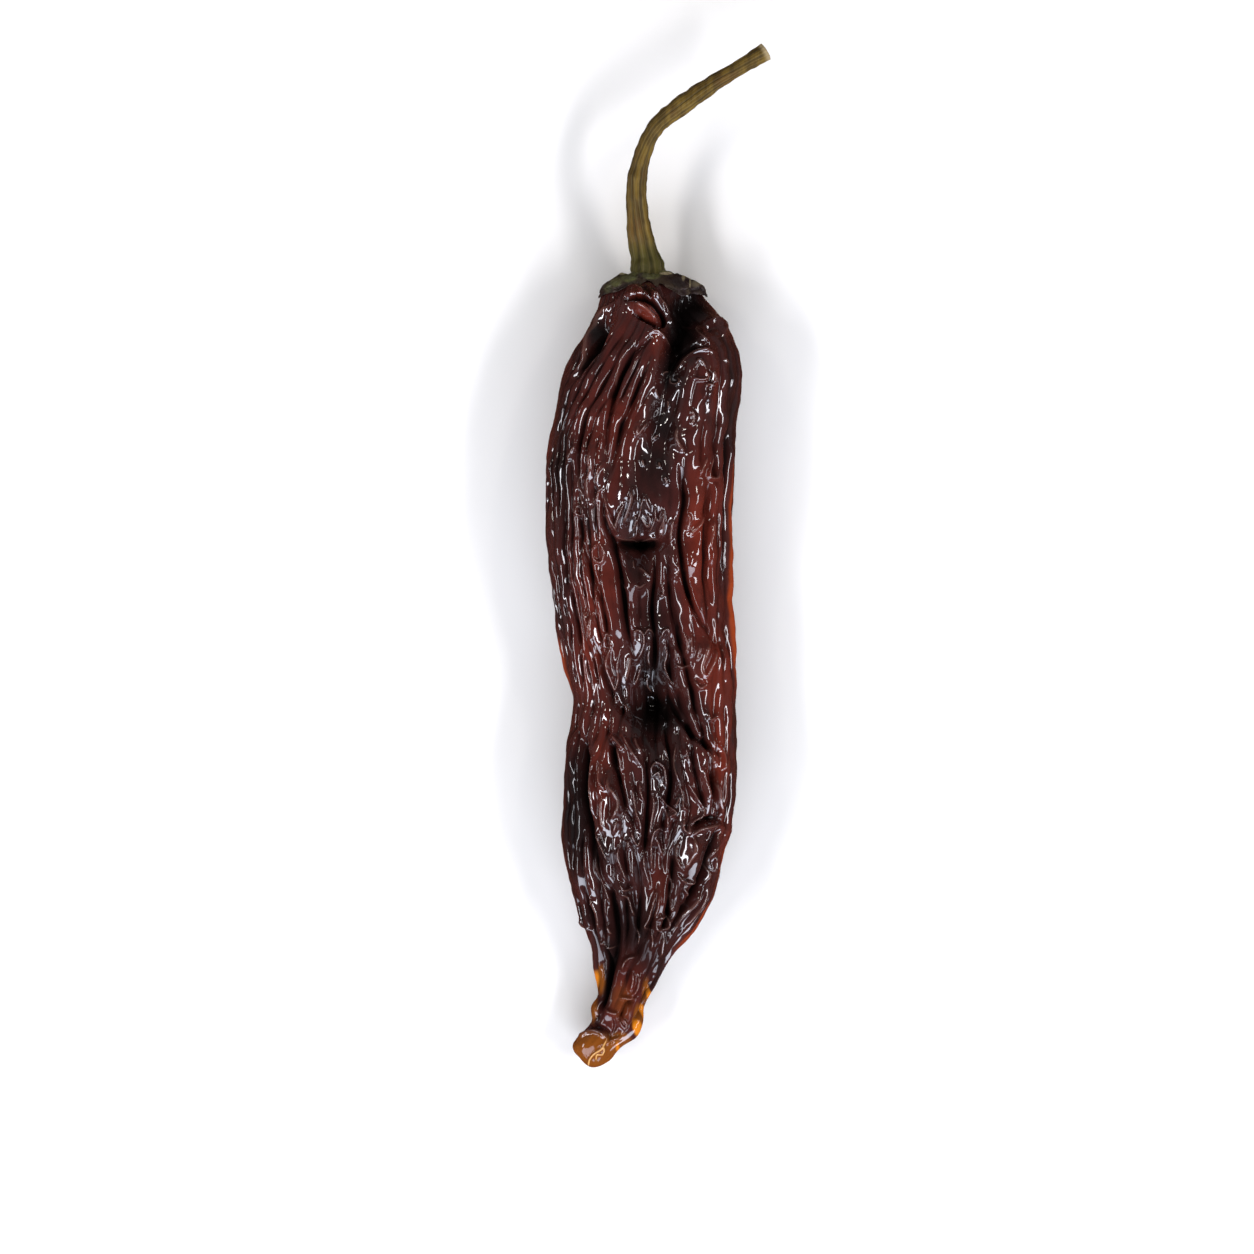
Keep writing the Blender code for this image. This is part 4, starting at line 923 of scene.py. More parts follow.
RED_PATCHES = (
    (40.0, 8.5, 16.0, 3.2, 0.8), (60.0, 10.0, 8.0, 2.4, 1.0), (72.0, 10.6, 8.0, 1.8, 0.8),
    (6.4, -0.2, 1.3, 2.0, 1.0), (11.0, 1.4, 2.4, 1.2, 0.8),
    (20.0, 9.0, 6.0, 2.6, 0.4), (45.0, -8.0, 11.0, 3.6, 0.5), (57.0, -8.6, 7.0, 3.0, 0.7),
    (75.0, -7.6, 8.0, 1.6, 0.6), (24.0, -5.0, 6.0, 3.6, 0.45), (5.0, -1.0, 2.4, 2.2, 0.5),
    (92.0, 1.5, 5.0, 1.8, 0.5), (98.0, 0.8, 4.5, 1.8, 0.6), (106.0, -3.2, 5.0, 2.4, 0.5),
    (111.0, -4.6, 3.0, 2.6, 0.6), (87.0, 11.5, 6.0, 1.4, 0.8),
)
# Gold: partly the tip's own colour, partly a painted glow of light coming through, stronger on the lit
# face.
GOLD_AND_GLOW_PATCHES = (
    (117.0, -8.2, 3.2, 4.6, 1.0), (115.4, -4.4, 1.6, 1.8, 0.9), (110.4, -8.6, 2.6, 0.9, 0.9),
    (106.2, -7.6, 2.6, 0.8, 0.8), (112.0, -1.9, 2.6, 0.8, 0.9), (108.0, -0.6, 2.8, 0.8, 0.7),
    (109.5, -4.2, 4.5, 2.6, 0.45),
)
# Painted glow of light coming through the thin edges and the tip, on the lit face only.
AMBER_GLOW_PATCHES = (
    (106.4, -8.1, 2.0, 0.35, 0.9), (110.0, -8.9, 1.4, 0.4, 0.8), (108.6, -0.1, 2.2, 0.35, 0.9),
    (111.2, -1.0, 1.6, 0.35, 1.0), (113.3, -2.0, 1.4, 0.8, 1.0), (116.4, -4.9, 1.2, 0.4, 0.8),
    (46.5, 12.6, 5.0, 0.4, 0.7), (27.5, 12.8, 3.0, 0.3, 0.5),
)
# Bands of painted glow of light coming through the thin rims along the two edges.
RIMS = ((0.008, 22.0, 68.0, 1.0), (0.008, 80.0, 106.0, 0.9), (0.492, 50.0, 68.0, 0.8))
RIM_HALF_WIDTH = 0.017
UNDERSIDE_RED, GOLD_LIT = 0.4, 0.4
skin_looks |= {
    "black_and_shade": patch_share(seen, BLACK_AND_SHADE_PATCHES) * above,
    "red": patch_share(seen, RED_PATCHES) * above + UNDERSIDE_RED * (1 - above),
    "gold_and_glow": patch_share(seen, GOLD_AND_GLOW_PATCHES) * (1 - GOLD_LIT + GOLD_LIT * lit),
    "amber_glow": patch_share(seen, AMBER_GLOW_PATCHES) * lit,
    "rim_glow": edge_bands(along, turn, RIMS, RIM_HALF_WIDTH),
}
print("looks on the skin:", sorted(skin_looks))

# %% [markdown]
# Every piece here is a grid of rings, closed by a fan wherever it ends the pod, the calyx or the
# stem, so one function makes them all. The looks are stored on the points as named attributes,
# which the finishes read. The skin's four lengths get the normals of the whole skin, so that no
# joint shows between them.

# %% Grids into meshes
def grid_piece(name, rings, first_pole, last_pole, looks, normals=None):
    rows, columns = rings.shape[:2]
    poles = [pole for pole in (first_pole, last_pole) if pole is not None]
    points = np.concatenate([rings.reshape(-1, 3), np.reshape(poles, (-1, 3))])
    first, last = rows * columns, rows * columns + len(poles) - 1
    j = np.arange(columns)
    k = (j + 1) % columns
    start = np.arange(rows - 1)[:, None] * columns
    quads = np.stack([start + j, start + k, start + columns + k, start + columns + j], axis=-1)
    faces = quads.reshape(-1, 4).tolist()
    if first_pole is not None:
        faces += np.stack([np.full(columns, first), k, j], axis=-1).tolist()
    if last_pole is not None:
        end = (rows - 1) * columns
        faces += np.stack([np.full(columns, last), end + j, end + k], axis=-1).tolist()
    mesh = bpy.data.meshes.new(name)
    mesh.from_pydata(to_metres(points).tolist(), [], faces)
    mesh.shade_smooth()
    end_rows = [row for row, pole in ((0, first_pole), (-1, last_pole)) if pole is not None]
    for look, values in looks.items():
        layer = mesh.attributes.new(look, "FLOAT", "POINT")
        flat = np.concatenate([values.ravel(), [values[row].mean() for row in end_rows]])
        layer.data.foreach_set("value", flat.astype(np.float32))
    if normals is not None:
        ways = np.stack([normals[..., 1], -normals[..., 0], normals[..., 2]], axis=-1)
        ends = [(0, 1, 0) if row == 0 else (0, -1, 0) for row in end_rows]
        ways = np.concatenate([ways.reshape(-1, 3), np.reshape(ends, (-1, 3))])
        mesh.normals_split_custom_set_from_vertices(ways.tolist())
    piece = bpy.data.objects.new(name, mesh)
    scene.collection.objects.link(piece)
    return piece


def lay_skin():
    """Cuts the skin's grid into its lengths. The pod's two ends are closed by a middle point."""
    normals = surface_normal(skin_points)
    top, tip = plain_pod(np.array([POD_TOP, POD_TIP]), np.zeros(2))
    for part, name in enumerate(("shoulder", "belly", "waist", "tip")):
        first = part * (ROWS_A_LENGTH - 1)
        rows = slice(first, first + ROWS_A_LENGTH)
        looks = {look: values[rows] for look, values in skin_looks.items()}
        ends = top if name == "shoulder" else None, tip if name == "tip" else None
        yield grid_piece("pod_skin_" + name, skin_points[rows], *ends, looks, normals[rows])


skin_pieces = list(lay_skin())
for piece in skin_pieces:
    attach(piece, "root")
    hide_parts("pod")
    print(piece.name, len(piece.data.polygons), "faces")

# %% [markdown]
# Shader nodes do sums, and sums read best as sums. `Wire` stands for one output of a node, and
# the usual operators on it add Math nodes. `Finish` is a material, or the world, with one method
# that adds any other node: its type, then its settings, then what goes into its sockets.

# %% Wires and finishes
class Wire:
    def __init__(self, finish, socket):
        self.finish, self.socket = finish, socket

    def math(self, operation, *others, clamp=False):
        settings = {"operation": operation, "use_clamp": clamp}
        return self.finish.node("ShaderNodeMath", settings, dict(enumerate((self, *others))))[0]

    def __add__(self, other):
        return self.math("ADD", other)

    def __mul__(self, other):
        return self.math("MULTIPLY", other)

    __radd__, __rmul__ = __add__, __mul__

    def __sub__(self, other):
        return self.math("SUBTRACT", other)

    def __rsub__(self, other):
        return (self * -1) + other

    def clamped(self):
        return self.math("ADD", 0.0, clamp=True)

    def between(self, low, high):
        """Rises smoothly from 0 at low to 1 at high, or falls where low is the larger."""
        settings = {"interpolation_type": "SMOOTHSTEP"}
        values = {"Value": self, "From Min": low, "From Max": high}
        return self.finish.node("ShaderNodeMapRange", settings, values)[0]


class Finish:
    def __init__(self, owner):
        owner.use_nodes = True
        self.tree = owner.node_tree
        kinds = {"BSDF_PRINCIPLED", "BACKGROUND"}
        self.shader = next(node for node in self.tree.nodes if node.type in kinds)

    def node(self, kind, settings, values):
        made = self.tree.nodes.new(kind)
        for name, value in settings.items():
            setattr(made, name, value)
        for name, value in values.items():
            self.plug(value, made.inputs[name])
        return [Wire(self, socket) for socket in made.outputs]

    def plug(self, value, socket):
        if isinstance(value, Wire):
            self.tree.links.new(value.socket, socket)
        elif socket.type == "RGBA" and len(value) == 3:
            socket.default_value = (*value, 1.0)
        else:
            socket.default_value = value

    def set(self, **values):
        for name, value in values.items():
            self.plug(value, self.shader.inputs[name.replace("_", " ")])

    def look(self, name):
        """A look stored on the points, from the attribute node's factor."""
        return self.node("ShaderNodeAttribute", {"attribute_name": name}, {})[2]

    def noise(self, scale, detail=2.0, stretch=(1, 1, 1)):
        """Noise on the piece's own coordinates. Below 1, stretch draws it out along that axis."""
        spot = self.node("ShaderNodeTexCoord", {}, {})[3]
        spot = self.node("ShaderNodeMapping", {}, {"Vector": spot, "Scale": stretch})[0]
        values = {"Vector": spot, "Scale": scale, "Detail": detail}
        return self.node("ShaderNodeTexNoise", {}, values)[0]

    def mix(self, share, first, second):
        values = {0: share, 6: first, 7: second}
        return self.node("ShaderNodeMix", {"data_type": "RGBA"}, values)[2]

    def bump(self, height, distance, strength):
        values = {"Height": height, "Distance": distance, "Strength": strength}
        return self.node("ShaderNodeBump", {}, values)[0]


def new_material(name, *pieces):
    material = bpy.data.materials.new(name)
    for piece in pieces:
        piece.data.materials.append(material)
    return material


print("finishes ready")

# %% [markdown]
# The dried skin shines like polished leather. Its colour starts brown and is laid over, look by
# look: red; black, partly painted shade; gold, partly a painted glow; the painted glow of light
# through the rims and the amber edges; and a painted highlight, pale pink, on the sharpest crests.
# Creases are darkened as painted shade, because little light leaves them again. The shine could be
# the Principled shader's own, but that lays a grey veil on so dark a skin. So it is nearly off, and
# a clear coat shines instead: it is missing in the creases and weaker on the satin patches. A fine
# grain, stretched along the pod, breaks the reflections into glints.

# %% The skin's finish
BLACK_SKIN_AND_SHADE = (0.0075, 0.0050, 0.0048)
BROWN_SKIN = (0.053, 0.0125, 0.0104)
RED_SKIN = (0.143, 0.0192, 0.0098)
RIM_GLOW, GOLD_SKIN_AND_GLOW, AMBER_GLOW = (0.32, 0.046, 0.010), (0.200, 0.055, 0.006), (0.70, 0.21, 0.008)
PAINTED_CREST_HIGHLIGHT, SEAM_CREAM = (0.34, 0.17, 0.13), (0.60, 0.31, 0.10)
PAINTED_CREASE_SHADE = (0.0035, 0.0020, 0.0018)

skin = Finish(new_material("pod_skin_dried", *skin_pieces))
black_and_shade, red, amber_glow = skin.look("black_and_shade"), skin.look("red"), skin.look("amber_glow")
gold_and_glow, rim_glow, crest_highlight = skin.look("gold_and_glow"), skin.look("rim_glow"), skin.look("crest")
crease, seam_look, satin = skin.look("crease"), skin.look("seam"), skin.look("satin")
mottle = skin.noise(170.0, 3.0, (1, 0.4, 1))
stain = skin.noise(420.0, 2.0, (1, 0.6, 1))
red_share = (red * 0.9 + (mottle - 0.5) * 1.1 + (stain - 0.5) * 0.7).clamped()
colour = skin.mix(red_share, BROWN_SKIN, RED_SKIN)
dark_mottle = skin.noise(300.0, 3.0, (1, 0.35, 1))
colour = skin.mix(dark_mottle.between(0.54, 0.70) * 0.55, colour, BLACK_SKIN_AND_SHADE)
# Black skin, partly painted shade in the valley, the pits and the crescent under the lip.
colour = skin.mix((black_and_shade * 1.1 + (stain - 0.5) * 0.4).clamped() * 0.95, colour, BLACK_SKIN_AND_SHADE)
# Gold: partly the tip's own colour, partly a painted glow of light coming through, stronger on the lit
# face.
colour = skin.mix(gold_and_glow.between(0.25, 0.75) * (0.75 + 0.5 * mottle), colour, GOLD_SKIN_AND_GLOW)
# Painted glow of light coming through the thin rims along the two edges.
colour = skin.mix((rim_glow * (0.7 + 0.6 * mottle)).between(0.3, 0.9), colour, RIM_GLOW)
# Painted glow of light coming through the thin edges and the tip, on the lit face only.
colour = skin.mix((amber_glow * (0.7 + 0.6 * stain)).between(0.35, 0.9), colour, AMBER_GLOW)
# Painted highlight: pale pink on the sharpest crests of the drawn ridges.
colour = skin.mix(crest_highlight.between(0.3, 0.9) * 0.2, colour, PAINTED_CREST_HIGHLIGHT)
colour = skin.mix(seam_look.between(0.25, 0.6), colour, SEAM_CREAM)
# Painted shade in the creases, folds and pits.
colour = skin.mix((crease * 0.95).clamped(), colour, PAINTED_CREASE_SHADE)
grain = skin.noise(1300.0, 3.0, (1, 0.45, 1))
skin.set(
    Base_Color=colour,
    Roughness=(0.25 + 0.20 * stain + 0.3 * crease).clamped(),
    Normal=skin.bump(grain, 0.00008, 0.25),
    Specular_IOR_Level=0.02,
    Coat_Weight=(1.0 - 1.1 * crease - satin).clamped(),
    Coat_Roughness=0.07,
    Coat_IOR=1.75,
)
print("skin nodes:", len(skin.tree.nodes))

# %% [markdown]
# The calyx is what is left of the flower: a thin dry cap, pressed on the shoulder, with a torn
# edge. One table says how far the edge reaches at each angle, and another where folds spread
# from the stem: angle, height and half width. A cloth simulation would crumple a husk too, but
# soft seeded noise does it here, and is the same each time. The cap is built in rings from the
# middle to the rim and back underneath, so it is a closed husk with a real thickness.

# %% The calyx's edge and folds
CALYX_GAP, CALYX_THICKNESS, RIM_THICKNESS, CALYX_SKIRT = 0.14, 0.5, 0.14, 1.6
CALYX_EDGE = (
    (0, 1.85), (10, 1.95), (24, 1.7), (36, 1.8), (50, 1.45), (62, 1.75), (74, 1.3), (84, 0.8),
    (96, 0.68), (108, 0.8), (118, 0.9), (128, 1.45), (146, 1.55), (160, 1.8), (176, 1.75),
    (200, 1.0), (228, 1.6), (244, 1.3), (268, 0.7), (300, 1.6), (316, 1.3), (338, 1.0), (360, 1.85),
)
CALYX_FOLDS = (
    (16, 0.25, 4.0), (33, 0.55, 5.0), (42, -0.3, 3.5), (53, 0.45, 3.5), (66, -0.25, 5.0),
    (78, 0.30, 4.0), (97, 0.22, 5.0), (112, -0.2, 4.0), (124, 0.35, 4.0), (141, -0.2, 4.0),
    (158, 0.22, 5.0), (231, 0.4, 9.0), (303, 0.4, 9.0),
)
CALYX_BOSS, CALYX_BOSS_HEIGHT = (0.36, 0.26), 0.5
CALYX_COLUMNS, CALYX_OUTER_RINGS, CALYX_INNER_RINGS = 420, 80, 16
CALYX_HEART_RINGS, CALYX_HEART, CALYX_LEAST_GAP = 0.4, 0.45, 0.08
CRUMPLE_HEIGHT, CRUMPLE_SHIFT, EDGE_RAG, FINE_FOLD = 0.14, 0.12, 0.10, 0.04


def crumple_noise(seed, rows, columns, cycles_down, cycles_round):
    rng = np.random.default_rng(seed)
    down, sideways = np.fft.fftfreq(rows, 1 / rows)[:, None], np.fft.fftfreq(columns, 1 / columns)
    passed = bell(down, cycles_down) * bell(sideways[None, :], cycles_round)
    field = np.fft.ifft2(np.fft.fft2(rng.standard_normal((rows, columns))) * passed).real
    return field / field.std()


def calyx_reach(share, degrees, ragged):
    """How far out a ring lies, where 1 is the pod's shoulder. The heart's rings are closer."""
    edge = np.asarray(CALYX_EDGE, float)
    furthest = np.interp(degrees, edge[:, 0], edge[:, 1]) + EDGE_RAG * ragged
    heart = CALYX_HEART * np.minimum(share / CALYX_HEART_RINGS, 1)
    past_heart = np.maximum(share - CALYX_HEART_RINGS, 0)
    return heart + (furthest - CALYX_HEART) * past_heart / (1 - CALYX_HEART_RINGS)


def calyx_surface(share, angle, away, crumple, ragged):
    degrees = np.mod(np.degrees(angle), 360)
    reach = calyx_reach(share, degrees, ragged)
    lean = np.minimum(reach, 1) * math.pi / 2
    on_pod = POD_TOP + NECK_DOME * (1 - np.cos(lean)) + CALYX_SKIRT * np.maximum(reach - 1, 0)
    folds = sum(
        height * bell(degrees - middle, half_width) for middle, height, half_width in CALYX_FOLDS
    )
    folds = folds + FINE_FOLD * np.sin(23 * angle + 9 * reach)
    out = away + (CRUMPLE_HEIGHT * crumple + folds) * fade(0.45, 0.9, reach)
    out = np.maximum(out, CALYX_LEAST_GAP)
    along = on_pod - away * np.cos(lean) + CRUMPLE_SHIFT * crumple * fade(0.15, 0.5, reach)
    if np.max(away) > CALYX_GAP:
        along = along - CALYX_BOSS_HEIGHT * fade(*CALYX_BOSS, reach)
    across, height, half_width, half_thickness = section_of(on_pod)
    x, z = section_point(angle, half_width + out, half_thickness + out)
    return np.stack([along, across + x * np.sin(lean), height + z * np.sin(lean)], axis=-1)


print(len(CALYX_FOLDS), "folds on the calyx")

# %% [markdown]
# The outer face is crumpled all over, and the inner face only near the rim, so the two never
# cross. Green is left at the stem's foot, and the torn corners are pale and papery. Both are soft
# ovals, measured where the camera sees them, as on the skin.

# %% The calyx
GREEN_HUSK_PATCHES = (
    (-0.6, -2.2, 1.0, 1.4, 1.0), (0.6, -3.2, 1.0, 1.4, 0.9), (0.4, 0.2, 0.8, 1.6, 0.8),
    (1.4, -5.2, 1.0, 1.2, 0.7), (2.4, -6.4, 1.2, 0.9, 0.5), (-0.2, 1.6, 0.7, 1.6, 0.9),
)
TAN_HUSK_PATCHES = (
    (-0.3, 0.6, 0.35, 1.0, 1.0), (0.2, 2.4, 0.25, 1.2, 0.9), (1.7, 6.9, 0.9, 1.2, 0.5),
    (0.8, 5.0, 0.7, 0.35, 0.8), (0.2, -4.4, 0.25, 1.0, 0.8), (-0.8, -2.9, 0.25, 0.5, 1.0),
    (0.7, 6.6, 0.2, 1.6, 0.9), (2.2, 8.5, 1.0, 0.22, 0.9), (1.6, 6.0, 0.9, 0.2, 0.8),
)
calyx_angle = section_angle(np.arange(CALYX_COLUMNS) / CALYX_COLUMNS)[None, :]
outer_share = np.linspace(0.05, 1.0, CALYX_OUTER_RINGS)[:, None]
inner_share = np.linspace(1.0, 0.1, CALYX_INNER_RINGS)[:, None]
crumple = 1.2 - 2.0 * np.abs(crumple_noise(3, CALYX_OUTER_RINGS * 2, CALYX_COLUMNS, 7, 12))
crumple += 0.5 - 0.8 * np.abs(crumple_noise(8, CALYX_OUTER_RINGS * 2, CALYX_COLUMNS, 16, 34))
crumple = crumple[:CALYX_OUTER_RINGS]
ragged = crumple_noise(4, 4, CALYX_COLUMNS, 1, 22)[0]
top_away = CALYX_GAP + RIM_THICKNESS + (CALYX_THICKNESS - RIM_THICKNESS) * fade(1, 0.5, outer_share)
outer_face = calyx_surface(outer_share, calyx_angle, top_away, crumple, ragged)
rim_crumple = crumple[-1] * fade(0.5, 1.0, inner_share)
inner_face = calyx_surface(inner_share, calyx_angle, CALYX_GAP, rim_crumple, ragged)
calyx_rings = np.concatenate([outer_face, inner_face])
calyx_seen = np.stack(as_photographed(calyx_rings), axis=-1)
calyx_looks = {
    "green": patch_share(calyx_seen, GREEN_HUSK_PATCHES),
    "tan": patch_share(calyx_seen, TAN_HUSK_PATCHES),
    "fold_shade": np.concatenate([crumple, inner_share * 0 + crumple[-1]]) * 0.25 + 0.5,
}
calyx = grid_piece(
    "calyx_husk", calyx_rings, calyx_rings[0].mean(0), calyx_rings[-1].mean(0), calyx_looks
)
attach(calyx, "root")
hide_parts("calyx")
print("calyx:", len(calyx.data.polygons), "faces")

# %% [markdown]
# The husk is dull and papery, so a rough surface with no coat is enough. Two browns are mixed by
# noise, the green and the tan by their looks, and the folds are darkened as painted shade. Fine
# veins are only bump, as they are far too thin to be worth any faces.

# %% The calyx's finish
DARK_HUSK, BROWN_HUSK, GREEN_HUSK = (0.024, 0.010, 0.009), (0.050, 0.030, 0.015), (0.13, 0.13, 0.038)
FOLD_SHADE_HUSK, TAN_HUSK = (0.012, 0.008, 0.006), (0.36, 0.29, 0.16)

husk = Finish(new_material("calyx_husk_dried", calyx))
green_look, tan_look, fold_shade_look = husk.look("green"), husk.look("tan"), husk.look("fold_shade")
patches = husk.noise(420.0, 4.0, (1, 0.6, 1))
veins = husk.noise(1500.0, 2.0)
colour = husk.mix(patches.between(0.40, 0.62), DARK_HUSK, BROWN_HUSK)
colour = husk.mix(green_look.between(0.2, 0.7) * (0.5 + 0.8 * patches), colour, GREEN_HUSK)
# Painted shade in the calyx's folds.
colour = husk.mix(fold_shade_look.between(0.5, 0.15) * 0.5, colour, FOLD_SHADE_HUSK)
colour = husk.mix((tan_look * (0.5 + 0.9 * patches)).between(0.25, 0.75), colour, TAN_HUSK)
husk.set(
    Base_Color=colour,
    Roughness=(0.42 + 0.3 * patches).clamped(),
    Normal=husk.bump(patches * 0.6 + veins * 0.4, 0.0004, 0.8),
)
print("husk nodes:", len(husk.tree.nodes))

# %% [markdown]
# The stem is a ribbed stalk that dried bent. A curve with a bevel would make a smooth one, but
# not its ribs, so rings are set square to a curved middle line. It has seven ribs, strong past the
# foot and weak at the cut end, where it widens a little. Thin strands twist along it, and its foot
# is sunk in the calyx, where it grew.

# %% The stem
STEM_LINE = (
    (0.9, -0.15, 7.4, 2.7), (-0.2, -0.30, 7.4, 2.65), (-1.2, -0.50, 7.45, 2.5),
    (-2.2, -0.71, 7.5, 2.30), (-3.4, -1.01, 7.6, 2.12),
    (-4.9, -1.31, 7.8, 2.00), (-7.2, -1.71, 8.3, 1.85), (-9.3, -1.91, 8.7, 1.70),
    (-11.1, -2.01, 9.1, 1.58), (-12.9, -2.01, 9.4, 1.50), (-14.7, -1.81, 9.7, 1.40),
    (-16.5, -1.36, 10.0, 1.34), (-18.3, -0.76, 10.3, 1.28), (-20.1, 0.04, 10.5, 1.25),
    (-21.7, 1.13, 10.7, 1.30), (-23.0, 2.57, 10.8, 1.40), (-24.7, 4.86, 10.8, 1.48),
    (-26.5, 7.35, 10.7, 1.46), (-28.4, 10.14, 10.4, 1.26), (-30.2, 13.10, 10.1, 1.14),
    (-31.4, 15.00, 9.9, 1.22), (-32.3, 16.50, 9.7, 1.42), (-32.8, 17.30, 9.6, 1.42),
)
STEM_RIBS, STEM_RIB_DEPTH, STEM_COLUMNS, STEM_RINGS = 7, 0.20, 156, 260
STRANDS, FINE_STRANDS, STRAND_DEPTH, FINE_STRAND_DEPTH, SHRIVEL_DEPTH = 17, 29, 0.035, 0.012, 0.035


def stem_grid():
    line = np.asarray(STEM_LINE, float)
    steps = np.linalg.norm(np.diff(line[:, :3], axis=0), axis=1)
    length = np.concatenate([[0], np.cumsum(steps)])
    at = np.linspace(0, length[-1], STEM_RINGS)
    centre = np.stack([smooth_through(length, line[:, k], at) for k in range(3)], axis=-1)
    radius = smooth_through(length, line[:, 3], at)
    ahead = np.gradient(centre, at, axis=0)
    ahead /= np.linalg.norm(ahead, axis=1, keepdims=True)
    side = np.cross(ahead, (0, 0, 1.0))
    side /= np.linalg.norm(side, axis=1, keepdims=True)
    up = np.cross(side, ahead)
    angle = math.tau * np.arange(STEM_COLUMNS) / STEM_COLUMNS
    twisted = angle[None, :] + 0.02 * at[:, None] + 0.1 * np.sin(at / 3.1)[:, None]
    ribs = (0.5 - 0.5 * np.cos(STEM_RIBS * twisted)) ** 1.5
    strength = STEM_RIB_DEPTH * (0.25 + 0.75 * fade(16, 2, at))[:, None]
    strength = strength * fade(0.0, 2.2, at)[:, None]
    strands = 0.5 + 0.5 * np.sin(STRANDS * twisted + 1.3 * np.sin(at / 4)[:, None])
    fine_strands = np.sin(FINE_STRANDS * twisted + np.sin(at / 3)[:, None])
    shrivel = crumple_noise(21, STEM_RINGS, STEM_COLUMNS, 26, 3)
    lines = STRAND_DEPTH * strands + FINE_STRAND_DEPTH * fine_strands
    reach = radius[:, None] * (1 - strength * ribs - lines + SHRIVEL_DEPTH * shrivel)
    rings = centre[:, None] + side[:, None] * (reach * np.cos(angle))[..., None]
    rings = rings + up[:, None] * (reach * np.sin(angle))[..., None]
    cut_end = fade(length[-1] - 1.0, length[-1] - 0.2, at)[:, None] + 0 * angle
    foot = fade(8.0, 2.5, at)[:, None] + 0 * angle
    looks = {"groove_shade": ribs, "strand": strands, "cut": cut_end, "foot": foot}
    return rings[::-1], centre[-1], centre[0], {k: v[::-1] for k, v in looks.items()}


stem = grid_piece("stem_ribbed", *stem_grid())
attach(stem, "root")
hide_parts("stem")
print("stem:", len(stem.data.polygons), "faces")

# %% [markdown]
# The bark is a dull olive brown with paler strands, still green at its foot, and its grooves are
# darkened as painted shade. The cut end is pale wood. A wood texture would repeat too evenly, so two
# browns are mixed by noise that is stretched along the stem, and the looks of the ribs and strands
# go over them.

# %% The stem's finish
DARK_BARK, PALE_BARK, BROWN_BLOTCH = (0.072, 0.040, 0.006), (0.165, 0.098, 0.014), (0.100, 0.048, 0.010)
GREEN_FOOT, PALE_STRAND, GROOVE_SHADE = (0.052, 0.060, 0.014), (0.21, 0.16, 0.060), (0.026, 0.019, 0.007)
CUT_WOOD = (0.42, 0.32, 0.17)

bark = Finish(new_material("stem_bark_dried", stem))
groove_shade, strand, cut, foot = (bark.look(name) for name in ("groove_shade", "strand", "cut", "foot"))
fibres = bark.noise(800.0, 3.0, (1, 0.2, 1))
blotches = bark.noise(240.0, 3.0)
colour = bark.mix(fibres.between(0.38, 0.66), DARK_BARK, PALE_BARK)
colour = bark.mix(blotches.between(0.48, 0.66) * 0.7, colour, BROWN_BLOTCH)
colour = bark.mix(foot * (0.35 + 0.6 * fibres), colour, GREEN_FOOT)
colour = bark.mix((strand.between(0.7, 1.0) * 0.3).clamped(), colour, PALE_STRAND)
# Painted shade in the grooves between the ribs.
colour = bark.mix((groove_shade.between(0.5, 1.0) * 0.45).clamped(), colour, GROOVE_SHADE)
colour = bark.mix(cut * 0.8, colour, CUT_WOOD)
bark.set(
    Base_Color=colour,
    Roughness=0.6,
    Specular_IOR_Level=0.2,
    Normal=bark.bump(fibres, 0.0004, 0.8),
)
print("bark nodes:", len(bark.tree.nodes))

# %% [markdown]
# Gloss shows what is around a thing, so the room matters as much as the finish. The ceiling
# above the camera is dim, which keeps the flat parts of the skin dark and deep in colour. Soft
# panels stand all round: a wide cool one beyond the tip gives the broad bluish shine, long ones at
# the sides draw the thin bright lines along the ridges, and two small warm ones behind light the
# stem. A weak lamp overhead evens the shade, and no gloss shows it. The floor is a plain pale
# sheet. Gloss doesn't show it either, as it would lay a pale shine along the pod's sides: in its
# place the room below the horizon glows a dim, warm red.

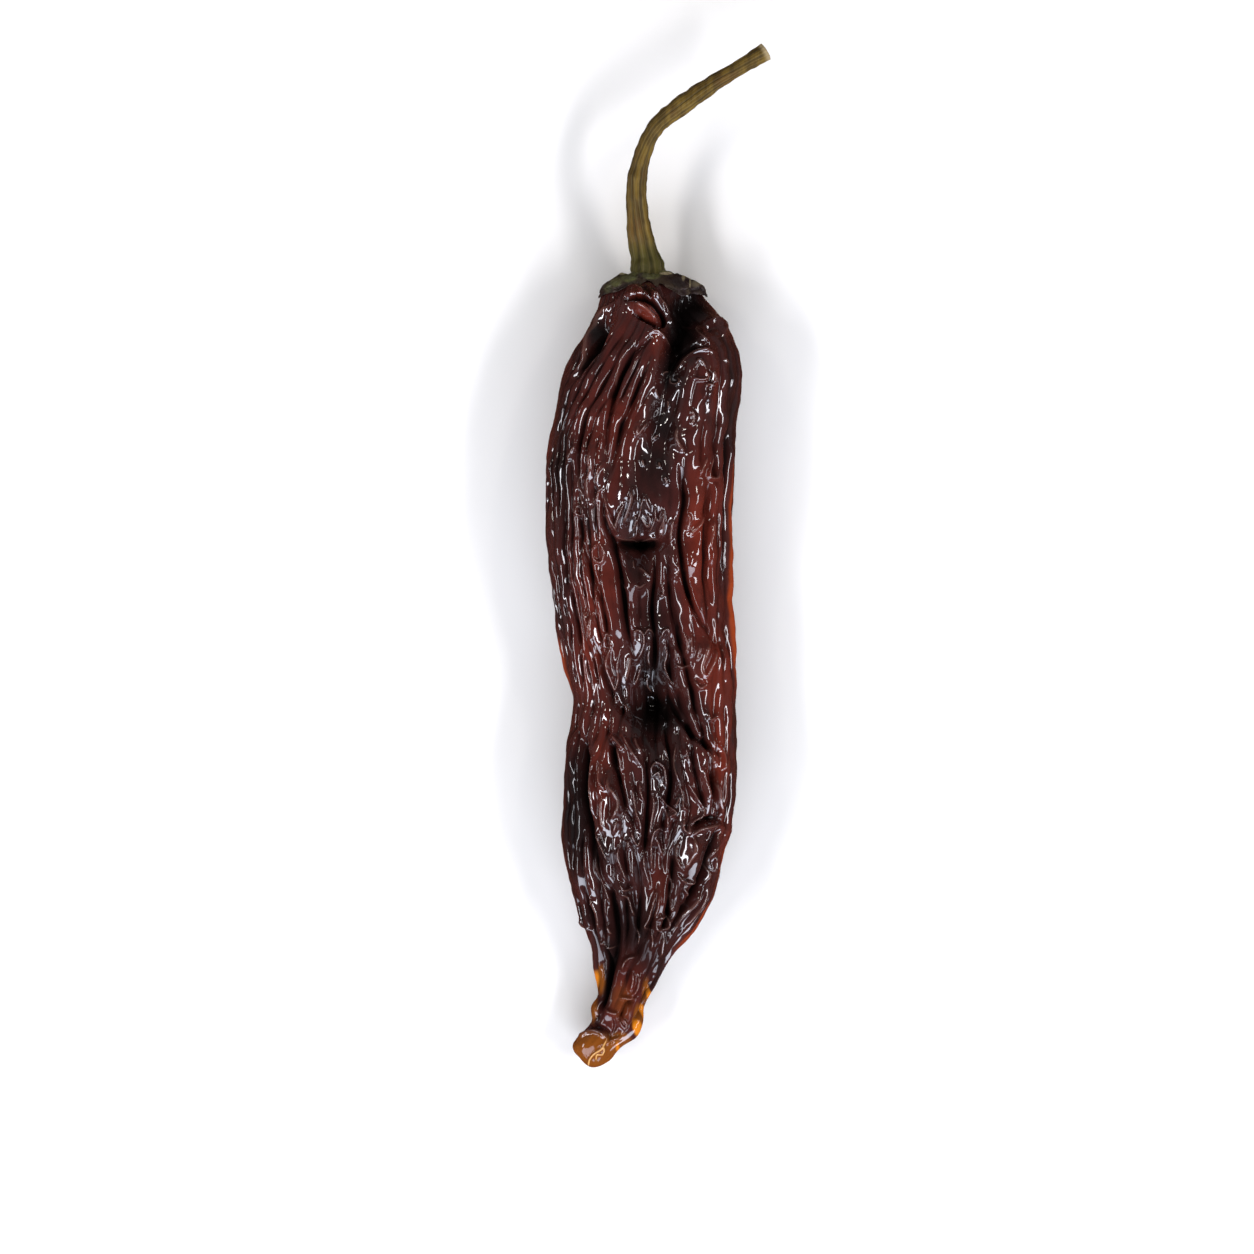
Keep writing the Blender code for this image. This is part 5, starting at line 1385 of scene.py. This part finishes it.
# %% The floor and the light
FLOOR_REACH, FLOOR_WHITE = 2, (0.95, 0.92, 0.87)
CORNERS = ((-1, -1), (1, -1), (1, 1), (-1, 1))
floor_mesh = bpy.data.meshes.new("floor")
floor_mesh.from_pydata([(x * FLOOR_REACH, y * FLOOR_REACH, 0) for x, y in CORNERS], [], [(0, 1, 2, 3)])
floor = bpy.data.objects.new("floor", floor_mesh)
scene.collection.objects.link(floor)
Finish(new_material("pale_floor", floor)).set(Base_Color=FLOOR_WHITE, Roughness=0.9)
floor.visible_glossy = False

PANEL_DISTANCE = 2.0
PANELS = (
    ("beyond_tip", -90, 54, (70, 20), 9.0, (0.80, 0.86, 1.0)),
    ("left_strip", -165, 48, (34, 7.0), 21.0, (0.93, 0.94, 1.0)),
    ("right_strip", -15, 48, (34, 7.0), 21.0, (0.93, 0.94, 1.0)),
    ("left_back", 148, 40, (4, 5), 26.0, (1.0, 0.96, 0.90)),
    ("right_back", 32, 40, (4, 5), 26.0, (1.0, 0.96, 0.90)),
    ("overhead", 0, 0, (70, 70), 0.18, (1.0, 0.98, 0.95)),
)


def panel(name, compass, lean, spread, radiance, colour):
    """compass: degrees from +X. lean: degrees from straight up. spread: width and height, in
    degrees. radiance: against a white floor's 1."""
    size = [math.radians(degrees) * PANEL_DISTANCE for degrees in spread]
    light = bpy.data.lights.new(name, "AREA")
    light.shape, light.size, light.size_y = "RECTANGLE", *size
    light.energy, light.color = radiance * math.pi * size[0] * size[1], colour
    lamp = bpy.data.objects.new(name, light)
    around, up = math.radians(compass), math.radians(lean)
    way = Vector((math.sin(up) * math.cos(around), math.sin(up) * math.sin(around), math.cos(up)))
    lamp.location = way * PANEL_DISTANCE
    lamp.rotation_euler = way.to_track_quat("Z", "Y").to_euler()
    lamp.visible_glossy = name != "overhead"
    scene.collection.objects.link(lamp)


for row in PANELS:
    panel(*row)

ROOM_WHITE, FLOOR_GLOW = (0.97, 0.98, 1.0), (0.20, 0.075, 0.05)
room = bpy.data.worlds.new("pale_room")
scene.world = room
sky = Finish(room)
direction = sky.node("ShaderNodeTexCoord", {}, {})[0]
upward = sky.node("ShaderNodeSeparateXYZ", {}, {"Vector": direction})[2]
below = upward.between(0.02, -0.02)
sky.set(
    Color=sky.mix(below, ROOM_WHITE, FLOOR_GLOW),
    Strength=0.03 + 0.09 * upward.between(0.9, 0.5) + 0.35 * below,
)
scene.view_settings.view_transform = "Standard"
